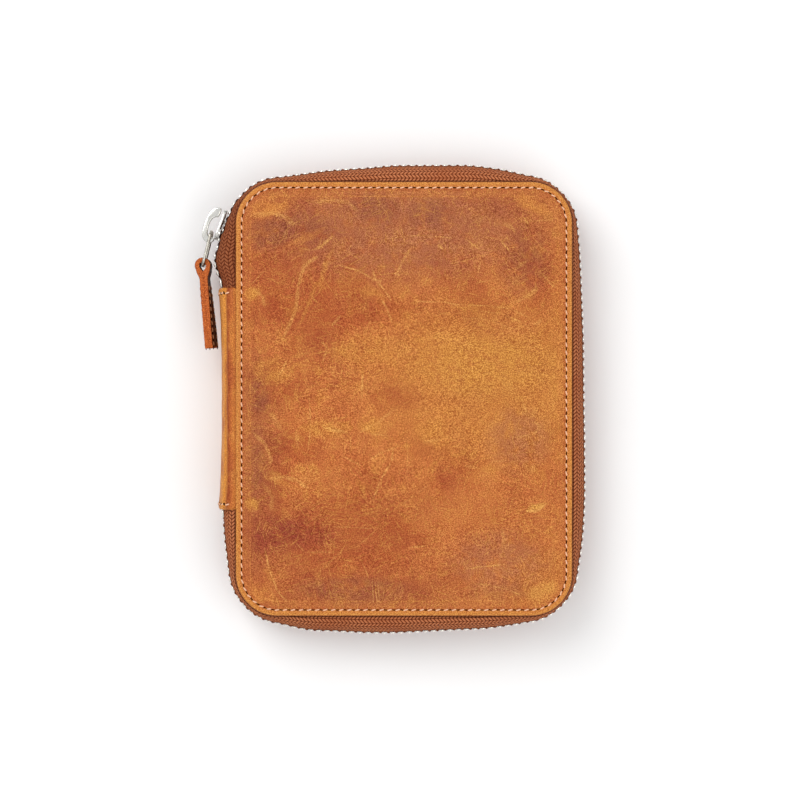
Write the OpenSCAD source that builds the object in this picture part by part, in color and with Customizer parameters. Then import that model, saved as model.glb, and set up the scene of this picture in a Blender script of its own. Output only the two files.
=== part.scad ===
// Zip-around leather case for twelve fountain pens.
// Lies on its back cover: +Z is its thickness, +Y its height, +X points away from the spine.
// The origin is the centre of the back cover's outer face.

/* [Case] */
// Width of one cover across the spine
cover_w = 138; // [120:1:160]
// Height of one cover along the spine
cover_l = 178; // [160:1:200]
// Corner radius of the covers
corner_r = 17; // [12:1:22]
// Thickness of the closed case, outer face to outer face
case_t = 34; // [32:1:38]

/* [Cover layers] */
// Outer leather
leather_t = 1.6; // [1.2:0.1:2.0]
// Stiffening board
board_t = 1.1; // [0.8:0.1:1.2]
// Suede lining
lining_t = 0.8; // [0.6:0.1:1.0]
// Leather panel that carries the pen loops
panel_t = 0.7; // [0.5:0.1:0.8]

/* [Spine] */
// Length of the leather spine strip
spine_l = 91.4; // [80:1:100]
// How far the strip bows out past the cover edges
spine_bow = 7.0; // [6:0.2:8]
// Leather of the strip
spine_t = 1.4; // [1.0:0.1:1.6]

/* [Zip] */
// Thickness of the woven tape
tape_t = 0.8; // [0.6:0.1:1.0]
// Spacing of the teeth along one row
tooth_pitch = 3.4; // [3.2:0.1:3.6]
// Length of one tooth along the row
tooth_len = 1.3; // [1.1:0.1:1.4]
// Thickness of one tooth through the tape
tooth_thick = 2.4; // [2.0:0.1:2.6]
// Height of one tooth from its tape to its tip
tooth_reach = 3.6; // [3.2:0.1:4.0]

/* [Slider and pull] */
// Length of the slider along the chain
slider_l = 13.6; // [12:0.2:15]
// Width of the slider across the chain, at its mouths
slider_w = 12.4; // [11.5:0.1:13]
// Thickness of each slider plate
plate_t = 1.2; // [1.0:0.1:1.4]
// Clear height of the channel between the plates
channel_h = 3.8; // [3.4:0.1:4.0]
// Distance between the two bars of the link
link_l = 14.4; // [12:0.2:16]
// Clear width inside the link
link_gap = 9.0; // [8.6:0.1:10]
// Width of the leather pull
tab_w = 8.4; // [7.6:0.1:8.4]
// Length of the leather pull below the link bar
tab_l = 34.5; // [28:0.5:36]

/* [Pen loops] */
// Number of pens on each side
pens = 6; // [4:1:6]
// Spacing of the pens
pen_pitch = 20; // [18.6:0.1:20]
// Inner radius of a loop
loop_r = 8.5; // [7.5:0.1:8.5]
// Thickness of the elastic
elastic_t = 0.8; // [0.6:0.1:1.0]
// Width of each elastic band
band_w = 26; // [20:1:28]

/* [Hidden] */

leather_tan = [0.72, 0.42, 0.20];
leather_dark = [0.55, 0.30, 0.15];
suede = [0.62, 0.48, 0.33];
board_grey = [0.55, 0.52, 0.48];
tape_brown = [0.50, 0.28, 0.15];
elastic_brown = [0.33, 0.20, 0.12];
steel = [0.80, 0.80, 0.78];

$fn = 64;
half_w = cover_w / 2;
half_l = cover_l / 2;
mid_z = case_t / 2;

// Insets of the layers from the cover's edge
board_inset = 7;
lining_inset = 1.7;
panel_w = 128;
panel_l = 150;
panel_r = 6;

// Layer heights on the back cover, the front cover mirrors them
board_z = leather_t;
lining_z = board_z + board_t;
panel_z = lining_z + lining_t;
loop_z = panel_z + panel_t;
loop_leg = 2.3;
upper_band_y = 31;
lower_band_y = -47;
foot_w = 3;

// The zip runs from one end of the spine strip round the cover to its other end
end_gap = 0.5;
zip_y0 = spine_l / 2 + end_gap;
side_run = half_l - corner_r - zip_y0;
corner_run = PI / 2 * corner_r;
end_run = 2 * (half_w - corner_r);
far_run = 2 * (half_l - corner_r);
run_lengths = [
    side_run, corner_run, end_run, corner_run, far_run, corner_run, end_run, corner_run, side_run
];
zip_length = total(run_lengths, 9);
straight_starts = [
    [-half_w, zip_y0], [corner_r - half_w, half_l], [half_w, half_l - corner_r],
    [half_w - corner_r, -half_l], [-half_w, corner_r - half_l]
];
corner_centres = [
    [corner_r - half_w, half_l - corner_r], [half_w - corner_r, half_l - corner_r],
    [half_w - corner_r, corner_r - half_l], [corner_r - half_w, corner_r - half_l]
];

// How far the chain stands out past the cover edge, at places along the zip
top_start = side_run + corner_run;
far_start = top_start + end_run + corner_run;
low_start = far_start + far_run + corner_run;
bulges = [
    [0, 5.6], [11.5, 8.4], [20, 6.6], [24.5, 4.7], [31, 2.8], [39, 1.8],
    [top_start + 0.55 * end_run, 7.4],
    [top_start + end_run + corner_run / 2, 0.8],
    [far_start + 0.52 * far_run, 5.8],
    [far_start + far_run + corner_run / 2, 0.5],
    [low_start + 0.5 * end_run, 6.6],
    [low_start + end_run + corner_run / 2, 1.8],
    [zip_length, 5.0]
];

// The tape leaves the cover level, then bends down to the chain in a quarter ellipse
flange_in = -6;
bend_start = -1.6;
tape_top = leather_t + 0.05;
tape_edge_z = mid_z - 2.2;
bead_drop = 0.8;
tape_rings = 128;
bend_steps = 5;

// The rows stand apart where the zip is still open, and a little at their far end stops
open_end = 21;
join_end = 28;
open_shift = 1.9;
stop_shift = 0.6;
stop_run = 8;
tip_gap = -0.3;
stop_len = 3;

// The slider sits on the chain in its upper left bend
slider_s = 25;
slider_tail_w = 9.6;
post_r = 1.1;
lip_w = 0.9;
lip_h = 0.7;
bridge_w = 3.2;
bar_t = 1.2;
bar_u = 4.0;
bar_v = 2.1;
link_lean = -6.6;
tab_lean = -18.9;
tab_ply = 1.72;
tab_loop_r = 3.3;
tab_eye_r = 1.35;
tab_neck = 9;

function total(list, n, i = 0) = i >= n ? 0 : list[i] + total(list, n, i + 1);
function run_at(s, i = 0) = i >= 8 || s <= total(run_lengths, i + 1) ? i : run_at(s, i + 1);

// Point on the cover's edge at distance s along the zip, with the angle of its outward normal
function straight_point(k, t) =
    let (heading = 90 - 90 * k)
    [straight_starts[k][0] + t * cos(heading), straight_starts[k][1] + t * sin(heading), heading + 90];
function corner_point(k, t) =
    let (a = 180 - 90 * k - t / corner_r * 180 / PI)
    [corner_centres[k][0] + corner_r * cos(a), corner_centres[k][1] + corner_r * sin(a), a];
function edge_at(s) =
    let (i = run_at(s), t = s - total(run_lengths, i))
    i % 2 == 0 ? straight_point(i / 2, t) : corner_point((i - 1) / 2, t);

function ease(t) = (1 - cos(180 * min(1, max(0, t)))) / 2;
function bulge_at(s, i = 0) =
    i >= len(bulges) - 2 || s <= bulges[i + 1][0]
        ? bulges[i][1] + (bulges[i + 1][1] - bulges[i][1])
            * ease((s - bulges[i][0]) / (bulges[i + 1][0] - bulges[i][0]))
        : bulge_at(s, i + 1);
function out_from(e, o, z) = [e[0] + o * cos(e[2]), e[1] + o * sin(e[2]), z];
function chain_at(s) = out_from(edge_at(s), bulge_at(s), mid_z);
function row_shift(s) =
    open_shift * (1 - ease((s - open_end) / (join_end - open_end)))
    + stop_shift * ease((s - zip_length + stop_run) / (stop_run - stop_len));

// One ring of the back tape: its outer face from flange to bead, then its inner face back
function tape_face(s, side) =
    let (
        e = edge_at(s), b = bulge_at(s), shift = row_shift(s),
        z0 = tape_top + tape_t * (1 - side) / 2,
        reach = b - bend_start + side * tape_t / 2, edge_z = tape_edge_z - shift
    )
    concat(
        [out_from(e, flange_in, z0)],
        [for (k = [0:bend_steps]) let (a = 90 * k / bend_steps)
            out_from(e, bend_start + reach * sin(a), edge_z - (edge_z - z0) * cos(a))],
        [out_from(e, bend_start + reach, edge_z + bead_drop)]
    );
function reversed(list) = [for (i = [len(list) - 1:-1:0]) list[i]];
function tape_ring(s) = concat(tape_face(s, 1), reversed(tape_face(s, -1)));

module sweep(rings) {
    n = len(rings[0]);
    m = len(rings);
    faces = concat(
        [[for (k = [n - 1:-1:0]) k]],
        [for (i = [0:m - 2]) for (k = [0:n - 1])
            [i * n + k, i * n + (k + 1) % n, (i + 1) * n + (k + 1) % n, (i + 1) * n + k]],
        [[for (k = [0:n - 1]) (m - 1) * n + k]]
    );
    polyhedron([for (r = rings) each r], faces, convexity = 10);
}

module rounded_plate(w, l, r, t) {
    linear_extrude(t) rounded_outline(w, l, r);
}

module rounded_outline(w, l, r) {
    square([w - 2 * r, l], center = true);
    square([w, l - 2 * r], center = true);
    for (x = [-1, 1]) for (y = [-1, 1]) {
        translate([x * (w / 2 - r), y * (l / 2 - r)]) circle(r);
    }
}

// A piece of the front cover is the same piece of the back cover, mirrored through mid-thickness
module front_side() {
    translate([0, 0, case_t]) mirror([0, 0, 1]) children();
}

module cover_leather() {
    rounded_plate(cover_w, cover_l, corner_r, leather_t);
}

module cover_board() {
    translate([0, 0, board_z])
        rounded_plate(cover_w - 2 * board_inset, cover_l - 2 * board_inset, corner_r - board_inset, board_t);
}

module cover_lining() {
    translate([0, 0, lining_z])
        rounded_plate(cover_w - 2 * lining_inset, cover_l - 2 * lining_inset, corner_r - lining_inset, lining_t);
}

module pen_panel() {
    translate([0, 0, panel_z]) rounded_plate(panel_w, panel_l, panel_r, panel_t);
}

module loop_outline(r) {
    translate([0, loop_leg]) circle(r);
    translate([-r, -1]) square([2 * r, loop_leg + 1]);
}

// One elastic band, sewn down between the pens and arched over each of them
module elastic_band(y) {
    first = -(pens - 1) / 2 * pen_pitch;
    width = pens * pen_pitch + 2 * foot_w;
    translate([0, y + band_w / 2, loop_z]) rotate([90, 0, 0]) linear_extrude(band_w) difference() {
        union() {
            translate([-width / 2, 0]) square([width, elastic_t]);
            intersection() {
                union() {
                    for (i = [0:pens - 1]) {
                        translate([first + i * pen_pitch, 0]) loop_outline(loop_r + elastic_t);
                    }
                }
                translate([-width / 2, 0]) square([width, 20]);
            }
        }
        for (i = [0:pens - 1]) {
            translate([first + i * pen_pitch, 0]) loop_outline(loop_r);
        }
    }
}

module zip_tape() {
    sweep([for (i = [0:tape_rings]) tape_ring(i * zip_length / tape_rings)]);
}

module tooth(s, length) {
    c = chain_at(s);
    translate([c[0], c[1], mid_z - tooth_reach - tip_gap - row_shift(s)])
        rotate([0, 0, edge_at(s)[2]])
        translate([-tooth_thick / 2, -length / 2, 0])
        cube([tooth_thick, length, tooth_reach]);
}

// One row of teeth with a longer stop at each end
module zip_row(offset) {
    count = floor((zip_length - 2 * stop_len - 2 * tooth_len) / tooth_pitch);
    tooth(stop_len / 2 + 0.1, stop_len);
    tooth(zip_length - stop_len / 2 - 0.1, stop_len);
    for (i = [0:count - 1]) {
        tooth(stop_len + tooth_len + offset + i * tooth_pitch, tooth_len);
    }
}

// A strip bowed out in half a rounded arch between the two covers
module bowed_strip(outer, inner) {
    arch_x = -half_w - 0.5;
    low = leather_t + 0.1;
    fullness = 0.75;
    translate([0, spine_l / 2, 0]) rotate([90, 0, 0]) linear_extrude(spine_l) polygon(concat(
        [for (a = [0:7.5:180])
            [arch_x - (spine_bow - outer) * pow(sin(a), fullness), mid_z - (mid_z - low - outer) * cos(a)]],
        [for (a = [180:-7.5:0])
            [arch_x - (spine_bow - inner) * pow(sin(a), fullness), mid_z - (mid_z - low - inner) * cos(a)]]
    ));
}

// Places a child on the slider: its X runs along the chain to the mouths, its Y points out
module on_slider() {
    a = chain_at(slider_s + 6);
    b = chain_at(slider_s - 6);
    c = chain_at(slider_s);
    translate([c[0], c[1], mid_z]) rotate([0, 0, atan2(b[1] - a[1], b[0] - a[0])]) mirror([0, 1, 0]) children();
}

module slider_outline() {
    polygon([
        [-slider_l / 2, -slider_tail_w / 2 + 1], [-slider_l / 2 + 1, -slider_tail_w / 2],
        [slider_l / 2 - 5, -slider_w / 2], [slider_l / 2 - 1.5, -slider_w / 2],
        [slider_l / 2, -slider_w / 2 + 2], [slider_l / 2 - 1, 0], [slider_l / 2, slider_w / 2 - 2],
        [slider_l / 2 - 1.5, slider_w / 2], [slider_l / 2 - 5, slider_w / 2],
        [-slider_l / 2 + 1, slider_tail_w / 2], [-slider_l / 2, slider_tail_w / 2 - 1]
    ]);
}

module slider_lips(y) {
    for (z = [-1, 1]) {
        translate([slider_l / 2 - 5, y, z * (slider_w - lip_w) / 2 - lip_w / 2])
            cube([3.5, lip_h, lip_w]);
    }
}

// Two plates joined by the post that parts the rows
module slider_shell() {
    for (y = [channel_h / 2, -channel_h / 2 - plate_t]) {
        translate([0, y + plate_t, 0]) rotate([90, 0, 0]) linear_extrude(plate_t) slider_outline();
    }
    slider_lips(channel_h / 2 - lip_h);
    slider_lips(-channel_h / 2);
    translate([slider_l / 2 - 2.6, channel_h / 2, 0]) rotate([90, 0, 0]) cylinder(r = post_r, h = channel_h);
}

// The hook over the outer plate that the link hangs in, open at its tail end
module bridge_hook() {
    translate([0, channel_h / 2 + plate_t, -bridge_w / 2]) linear_extrude(bridge_w) polygon([
        [-6.7, 1.4], [-6.8, 2.9], [-6.1, 4.3], [-4.6, 5.5], [-2.4, 6.2], [0.8, 6.4], [3.8, 6.3],
        [6.2, 5.8], [8.0, 4.6], [8.8, 3.0], [8.6, 1.2], [7.2, 0], [6.0, 0], [6.1, 1.4], [5.8, 2.9],
        [4.9, 3.7], [3.5, 4.0], [1.6, 4.2], [0, 4.1], [-1.5, 3.7], [-2.4, 2.9], [-2.8, 1.5]
    ]);
}

// Places a child at the link's upper bar, its X running down the link
module on_link() {
    on_slider() translate([bar_u, channel_h / 2 + plate_t + bar_v, 0]) rotate([0, 0, link_lean]) children();
}

module link_ring() {
    outer_w = link_gap + 2 * bar_t;
    on_link() translate([link_l / 2, bar_t / 2, 0]) rotate([90, 0, 0]) linear_extrude(bar_t) difference() {
        rounded_outline(link_l + bar_t, outer_w, 2);
        rounded_outline(link_l - bar_t, link_gap, 0.8);
    }
}

module tab_outline() {
    difference() {
        union() {
            circle(tab_loop_r);
            polygon([
                [1.2, -3.0], [tab_neck, -tab_ply], [tab_l - 1, -tab_ply], [tab_l, 1 - tab_ply],
                [tab_l, tab_ply - 1], [tab_l - 1, tab_ply], [tab_neck, tab_ply], [1.2, 3.0]
            ]);
        }
        circle(tab_eye_r);
        polygon([[0.6, -1.2], [5, 0], [0.6, 1.2]]);
    }
}

// A strip folded round the link's lower bar and sewn to itself
module folded_tab() {
    on_link() translate([link_l, 0, -tab_w / 2]) rotate([0, 0, tab_lean]) linear_extrude(tab_w) tab_outline();
}

module back_leather() { color(leather_tan) cover_leather(); }
module back_board() { color(board_grey) cover_board(); }
module back_lining() { color(suede) cover_lining(); }
module back_pen_panel() { color(leather_dark) pen_panel(); }
module back_upper_band() { color(elastic_brown) elastic_band(upper_band_y); }
module back_lower_band() { color(elastic_brown) elastic_band(lower_band_y); }
module back_zip_tape() { color(tape_brown) zip_tape(); }
module back_zip_teeth() { color(steel) zip_row(0); }
module front_leather() { color(leather_tan) front_side() cover_leather(); }
module front_board() { color(board_grey) front_side() cover_board(); }
module front_lining() { color(suede) front_side() cover_lining(); }
module front_pen_panel() { color(leather_dark) front_side() pen_panel(); }
module front_upper_band() { color(elastic_brown) front_side() elastic_band(upper_band_y); }
module front_lower_band() { color(elastic_brown) front_side() elastic_band(lower_band_y); }
module front_zip_tape() { color(tape_brown) front_side() zip_tape(); }
module front_zip_teeth() { color(steel) front_side() zip_row(tooth_pitch / 2); }
module spine_leather() { color(leather_tan) bowed_strip(0, spine_t); }
module spine_lining() { color(suede) bowed_strip(spine_t + 0.05, spine_t + 0.65); }
module slider_body() { color(steel) on_slider() slider_shell(); }
module slider_bridge() { color(steel) on_slider() bridge_hook(); }
module puller_link() { color(steel) link_ring(); }
module pull_tab() { color(leather_tan) folded_tab(); }

back_leather();
back_board();
back_lining();
back_pen_panel();
back_upper_band();
back_lower_band();
back_zip_tape();
back_zip_teeth();
front_leather();
front_board();
front_lining();
front_pen_panel();
front_upper_band();
front_lower_band();
front_zip_tape();
front_zip_teeth();
spine_leather();
spine_lining();
slider_body();
slider_bridge();
puller_link();
pull_tab();
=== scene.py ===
"""Looks of the zip-around fountain pen case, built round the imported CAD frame.

Shapes are worked out in millimetres and written to the meshes in metres. Distances along the zip start at the
top end of the spine strip and run clockwise round the cover, as in the CAD source.
"""

import math

import bpy
import numpy as np
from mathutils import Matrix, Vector, noise


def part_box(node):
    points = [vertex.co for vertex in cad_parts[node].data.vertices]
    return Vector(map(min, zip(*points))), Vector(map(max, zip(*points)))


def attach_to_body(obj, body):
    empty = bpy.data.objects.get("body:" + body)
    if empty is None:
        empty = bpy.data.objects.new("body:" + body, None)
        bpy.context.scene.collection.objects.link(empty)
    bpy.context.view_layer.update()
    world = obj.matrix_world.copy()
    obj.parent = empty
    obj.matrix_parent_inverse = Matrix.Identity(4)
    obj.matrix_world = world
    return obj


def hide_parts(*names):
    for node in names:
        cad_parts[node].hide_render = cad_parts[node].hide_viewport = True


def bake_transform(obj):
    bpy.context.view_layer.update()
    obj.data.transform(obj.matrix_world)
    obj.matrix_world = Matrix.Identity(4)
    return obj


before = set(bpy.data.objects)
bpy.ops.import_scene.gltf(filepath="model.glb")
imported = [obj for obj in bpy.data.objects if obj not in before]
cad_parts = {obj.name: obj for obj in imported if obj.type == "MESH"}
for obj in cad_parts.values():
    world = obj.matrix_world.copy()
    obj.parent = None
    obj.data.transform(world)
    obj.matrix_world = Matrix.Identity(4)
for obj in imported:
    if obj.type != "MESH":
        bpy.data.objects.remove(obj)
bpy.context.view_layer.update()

MM = 0.001


def box_mm(node):
    low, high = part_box(node)
    return np.array(low) / MM, np.array(high) / MM


# ---------------------------------------------------------------- sizes taken from the frame

HALF_W, HALF_L, LEATHER_T = box_mm("back_leather")[1]
CASE_T = box_mm("front_leather")[1][2]
MID_Z = CASE_T / 2
LINING_HIGH = box_mm("back_lining")[1]
PANEL_HIGH = box_mm("back_pen_panel")[1]
BAND_ROWS = {row: box_mm(f"back_{row}_band") for row in ("upper", "lower")}
SPINE_HALF = box_mm("spine_leather")[1][1]

# ---------------------------------------------------------------- sizes shared with the CAD source

CORNER_R = 17.0
LINING_INSET = HALF_W - LINING_HIGH[0]
PANEL_R = 6.0
STITCH_INSET = 2.4
STITCH_PITCH = 3.3

ZIP_Y0 = SPINE_HALF + 0.5
SIDE_RUN = HALF_L - CORNER_R - ZIP_Y0
CORNER_RUN = math.pi / 2 * CORNER_R
END_RUN = 2 * (HALF_W - CORNER_R)
FAR_RUN = 2 * (HALF_L - CORNER_R)
RUNS = [
    SIDE_RUN, CORNER_RUN, END_RUN, CORNER_RUN, FAR_RUN, CORNER_RUN, END_RUN, CORNER_RUN, SIDE_RUN
]
RUN_STARTS = np.concatenate([[0], np.cumsum(RUNS)])
ZIP_LENGTH = RUN_STARTS[-1]
TOP_START, FAR_START, LOW_START = RUN_STARTS[2], RUN_STARTS[4], RUN_STARTS[6]
STRAIGHT_STARTS = np.array([
    [-HALF_W, ZIP_Y0], [CORNER_R - HALF_W, HALF_L], [HALF_W, HALF_L - CORNER_R],
    [HALF_W - CORNER_R, -HALF_L], [-HALF_W, CORNER_R - HALF_L]
])
CORNER_CENTRES = np.array([
    [CORNER_R - HALF_W, HALF_L - CORNER_R], [HALF_W - CORNER_R, HALF_L - CORNER_R],
    [HALF_W - CORNER_R, CORNER_R - HALF_L], [CORNER_R - HALF_W, CORNER_R - HALF_L]
])
# How far the tapes stand out from the covers: beside the spine by distance along the zip, elsewhere by place
BULGE_AT_ENDS, CORNER_BULGE, BULGE_SMOOTHING = 1.8, 1.0, 12
BULGES = np.array([
    [-8, 4.2], [0, 5.6], [11.5, 8.4], [20, 6.6], [24.5, 4.7], [31, 2.8], [39, BULGE_AT_ENDS],
    [471, BULGE_AT_ENDS], [ZIP_LENGTH, 5.0], [ZIP_LENGTH + 8, 3.8]
])
TOP_BULGES = [
    (-52, 1.9), (-46.7, 2.6), (-40.6, 3.4), (-34.4, 4.4), (-28, 4.9), (-16, 5.7), (-4, 6.8), (10, 6.8),
    (26, 6.9), (33, 6.2), (39.4, 5.3), (45.5, 4.0), (51.7, 2.5)
]
FAR_BULGES = [
    (72, 1.9), (65, 2.6), (57, 3.1), (40, 3.8), (24, 4.4), (0, 4.6), (-17, 4.9), (-41, 5.0), (-50, 4.6),
    (-58, 4.1), (-66, 3.0), (-72, 2.0)
]
LOW_BULGES = [
    (51.7, 2.5), (45.5, 3.7), (39.4, 4.6), (33, 5.3), (20.9, 5.8), (8, 6.4), (-4, 7.0), (-16, 7.0),
    (-28, 6.3), (-37, 6.1), (-41, 5.7), (-46.7, 4.4), (-52.9, 2.9)
]
# The tape: where its glued flange starts and ends, its width beyond it, its top, thickness and toothed edge
FLANGE_IN, BEND_START, TAPE_FREE_W = -6.0, -1.6, 17.0
TAPE_TOP, TAPE_T = LEATHER_T + 0.05, 0.8
TAPE_EDGE_Z = MID_Z - 2.2
BEAD_DROP = 0.8
# The rows: parted up to here, joined from here on, how far apart, and the same at the stops
OPEN_END, JOIN_END, OPEN_SHIFT = 21.0, 28.0, 1.9
STOP_SHIFT, STOP_RUN, STOP_LEN = 0.6, 8.0, 3.0
TOOTH_PITCH, TOOTH_LEN, TOOTH_REACH, TIP_GAP = 3.4, 1.3, 3.6, -0.3
# Where the tape is split into pieces, and how far it runs on under the spine strip
LEFT_TOP_END, LEFT_LOW_START, TUCK = 39.0, 471.0, 5.0
# The slider's place along the zip, its channel and plates, and the link and pull that hang from it
SLIDER_S, CHANNEL_H, PLATE_T = 25.0, 3.8, 1.2
LINK_L, LINK_GAP, BAR_T, BAR_U, BAR_V = 14.4, 9.0, 1.2, 4.0, 2.1
LINK_LEAN, TAB_LEAN, TAB_TWIST = math.radians(-6.6), math.radians(-18.9), math.radians(13)
TAB_W, TAB_L, TAB_PLY, TAB_NECK = 8.4, 34.5, 1.72, 9.0
TAB_STITCH_PITCH, TAB_STITCH_INSET = 2.9, 1.5


# ---------------------------------------------------------------- small tools


def ease(t):
    return (1 - np.cos(np.pi * np.clip(t, 0, 1))) / 2


def directions(angles):
    """Unit vectors at angles from x towards y."""
    return np.stack([np.cos(angles), np.sin(angles)], -1)


def left_of(vectors):
    """2-D vectors after a quarter turn to the left."""
    return np.stack([-vectors[:, 1], vectors[:, 0]], 1)


def lengths_along(line):
    """The distance from a line's first point to each of its points."""
    return np.concatenate([[0], np.cumsum(np.linalg.norm(np.diff(line, axis=0), axis=1))])


def edge_at(s):
    """Points of the cover's edge and its outward normals, at distances s along the zip."""
    s = np.asarray(s, float)
    i = np.clip(np.searchsorted(RUN_STARTS, s, side="right") - 1, 0, 8)
    t = s - RUN_STARTS[i]
    k = i // 2
    straight = (i % 2 == 0)[:, None]
    ahead = directions(np.radians(90 - 90 * k))
    flat_point = STRAIGHT_STARTS[k] + t[:, None] * ahead
    turned = directions(np.radians(180 - 90 * k) - t / CORNER_R)
    corner_point = CORNER_CENTRES[np.minimum(k, 3)] + CORNER_R * turned
    return np.where(straight, flat_point, corner_point), np.where(straight, left_of(ahead), turned)


def round_bulges():
    """How far the tapes stand out round the three far sides: distances along the zip and bulges, smoothed."""
    knots = [(LEFT_TOP_END, BULGE_AT_ENDS)]
    knots += [(TOP_START + END_RUN / 2 + x, bulge) for x, bulge in TOP_BULGES]
    knots += [(TOP_START + END_RUN + CORNER_RUN / 2, CORNER_BULGE)]
    knots += [(FAR_START + FAR_RUN / 2 - y, bulge) for y, bulge in FAR_BULGES]
    knots += [(FAR_START + FAR_RUN + CORNER_RUN / 2, CORNER_BULGE)]
    knots += [(LOW_START + END_RUN / 2 - x, bulge) for x, bulge in LOW_BULGES]
    knots += [(LEFT_LOW_START, BULGE_AT_ENDS)]
    places, bulges = np.array(knots).T
    s = np.arange(LEFT_TOP_END, LEFT_LOW_START + 0.5, 0.5)
    window = np.hanning(2 * BULGE_SMOOTHING + 1)
    padded = np.pad(np.interp(s, places, bulges), BULGE_SMOOTHING, mode="edge")
    return s, np.convolve(padded, window / window.sum(), mode="valid")


ROUND_BULGES = round_bulges()


def bulge_at(s):
    i = np.clip(np.searchsorted(BULGES[:, 0], s, side="right") - 1, 0, len(BULGES) - 2)
    low, high = BULGES[i], BULGES[i + 1]
    ends = low[:, 1] + (high[:, 1] - low[:, 1]) * ease((s - low[:, 0]) / (high[:, 0] - low[:, 0]))
    return np.where((s > LEFT_TOP_END) & (s < LEFT_LOW_START), np.interp(s, *ROUND_BULGES), ends)


def chain_at(s):
    point, normal = edge_at(s)
    return point + bulge_at(np.asarray(s, float))[:, None] * normal


def row_shift(s):
    opened = OPEN_SHIFT * (1 - ease((s - OPEN_END) / (JOIN_END - OPEN_END)))
    return opened + STOP_SHIFT * ease((s - ZIP_LENGTH + STOP_RUN) / (STOP_RUN - STOP_LEN))


def wobble(points, scale, seed=0.0):
    """Smooth noise between about -1 and 1 at points in millimetres, over lumps of the given size."""
    return np.array([noise.fractal(tuple(p / scale + seed), 0.9, 2.1, 3) for p in points])


def level_ring(ring, height):
    """A ring of 2-D points at one height, or at a height for each point."""
    return np.column_stack([ring, np.broadcast_to(height, len(ring))])


def unit(v):
    return v / np.maximum(np.linalg.norm(v, axis=-1, keepdims=True), 1e-9)


# A shape is its points, its quads as an array, and its flat caps as a list of arrays.


def loft(rings, closed=False):
    """Joins rings of points (m, n, 3) by quads, with a flat cap at each end unless it is closed on itself."""
    rings = np.asarray(rings, float)
    m, n = rings.shape[:2]
    i = np.arange(m if closed else m - 1)[:, None] * n
    j = np.arange(n)[None, :]
    after = (i + n) % (m * n)
    quads = np.stack([i + j, i + (j + 1) % n, after + (j + 1) % n, after + j], -1).reshape(-1, 4)
    caps = [] if closed else [np.arange(n)[::-1], np.arange((m - 1) * n, m * n)]
    return rings.reshape(-1, 3), quads, caps


def merged(*shapes):
    starts = np.cumsum([0] + [len(points) for points, _, _ in shapes])
    points = np.concatenate([points for points, _, _ in shapes])
    quads = np.concatenate([quads + start for (_, quads, _), start in zip(shapes, starts)])
    return points, quads, [cap + start for (_, _, caps), start in zip(shapes, starts) for cap in caps]


def axes_applied(local, origins, x_axes, y_axes, z_axes):
    """Local points at each origin, with their x, y and z along the given axes."""
    origins = np.asarray(origins, float)
    turned = (
        local[None, :, 0:1] * x_axes[:, None] + local[None, :, 1:2] * y_axes[:, None]
        + local[None, :, 2:3] * z_axes[:, None]
    )
    return (origins[:, None] + turned).reshape(-1, 3)


def scattered(shape, origins, x_axes, y_axes, z_axes):
    """Copies a shape to each origin, with its x, y and z along the given axes."""
    local, quads, caps = shape
    starts = np.arange(len(origins)) * len(local)
    points = axes_applied(local, origins, x_axes, y_axes, z_axes)
    copies = (quads[None] + starts[:, None, None]).reshape(-1, 4)
    return points, copies, [cap + start for start in starts for cap in caps]


def placed_points(points, origin, x_axis, y_axis, z_axis):
    return axes_applied(points, *[np.array([v], float) for v in (origin, x_axis, y_axis, z_axis)])


def placed(shape, *axes):
    return placed_points(shape[0], *axes), shape[1], shape[2]


def encloses(points, quads, caps):
    """The signed volume inside a closed shape."""
    fans = [quads[:, (0, 1, 2)], quads[:, (0, 2, 3)]]
    fans += [np.stack([np.full(len(cap) - 2, cap[0]), cap[1:-1], cap[2:]], 1) for cap in caps]
    a, b, c = np.concatenate(fans).T
    return (points[a] * np.cross(points[b], points[c])).sum()


def build(name, shape, material, slot=None, **attributes):
    """Makes a piece from a shape in millimetres, and keeps its rest coordinates for the materials."""
    points, quads, caps = shape
    if encloses(points, quads, caps) < 0:
        quads, caps = quads[:, ::-1], [cap[::-1] for cap in caps]
    mesh = bpy.data.meshes.new(name)
    sizes = np.array([4] * len(quads) + [len(cap) for cap in caps])
    corners = np.concatenate([quads.ravel(), *caps])
    mesh.vertices.add(len(points))
    mesh.vertices.foreach_set("co", (points * MM).astype(np.float32).ravel())
    mesh.loops.add(len(corners))
    mesh.loops.foreach_set("vertex_index", corners.astype(np.int32))
    mesh.polygons.add(len(sizes))
    mesh.polygons.foreach_set("loop_start", np.concatenate([[0], np.cumsum(sizes)[:-1]]).astype(np.int32))
    mesh.update(calc_edges=True)
    mesh.validate()
    mesh.shade_smooth()
    for key, values in {"rest": points, **attributes}.items():
        values = np.asarray(values, np.float32)
        if values.ndim == 2 and values.shape[1] == 2:
            values = np.concatenate([values, np.zeros((len(values), 1), np.float32)], 1)
        kind = "FLOAT_VECTOR" if values.ndim == 2 else "FLOAT"
        attribute = mesh.attributes.new(key, kind, "POINT")
        attribute.data.foreach_set("vector" if values.ndim == 2 else "value", values.ravel())
    mesh.materials.append(material)
    piece = bpy.data.objects.new(name, mesh)
    bpy.context.scene.collection.objects.link(piece)
    return piece


def inset_outline(outline, distance):
    """Moves a counter-clockwise outline inwards, keeping its corners."""
    before = unit(outline - np.roll(outline, 1, 0))
    after = unit(np.roll(outline, -1, 0) - outline)
    n1, n2 = left_of(before), left_of(after)
    share = np.maximum(1 + (n1 * n2).sum(1, keepdims=True), 0.5)
    return outline + (n1 + n2) / share * distance


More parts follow.
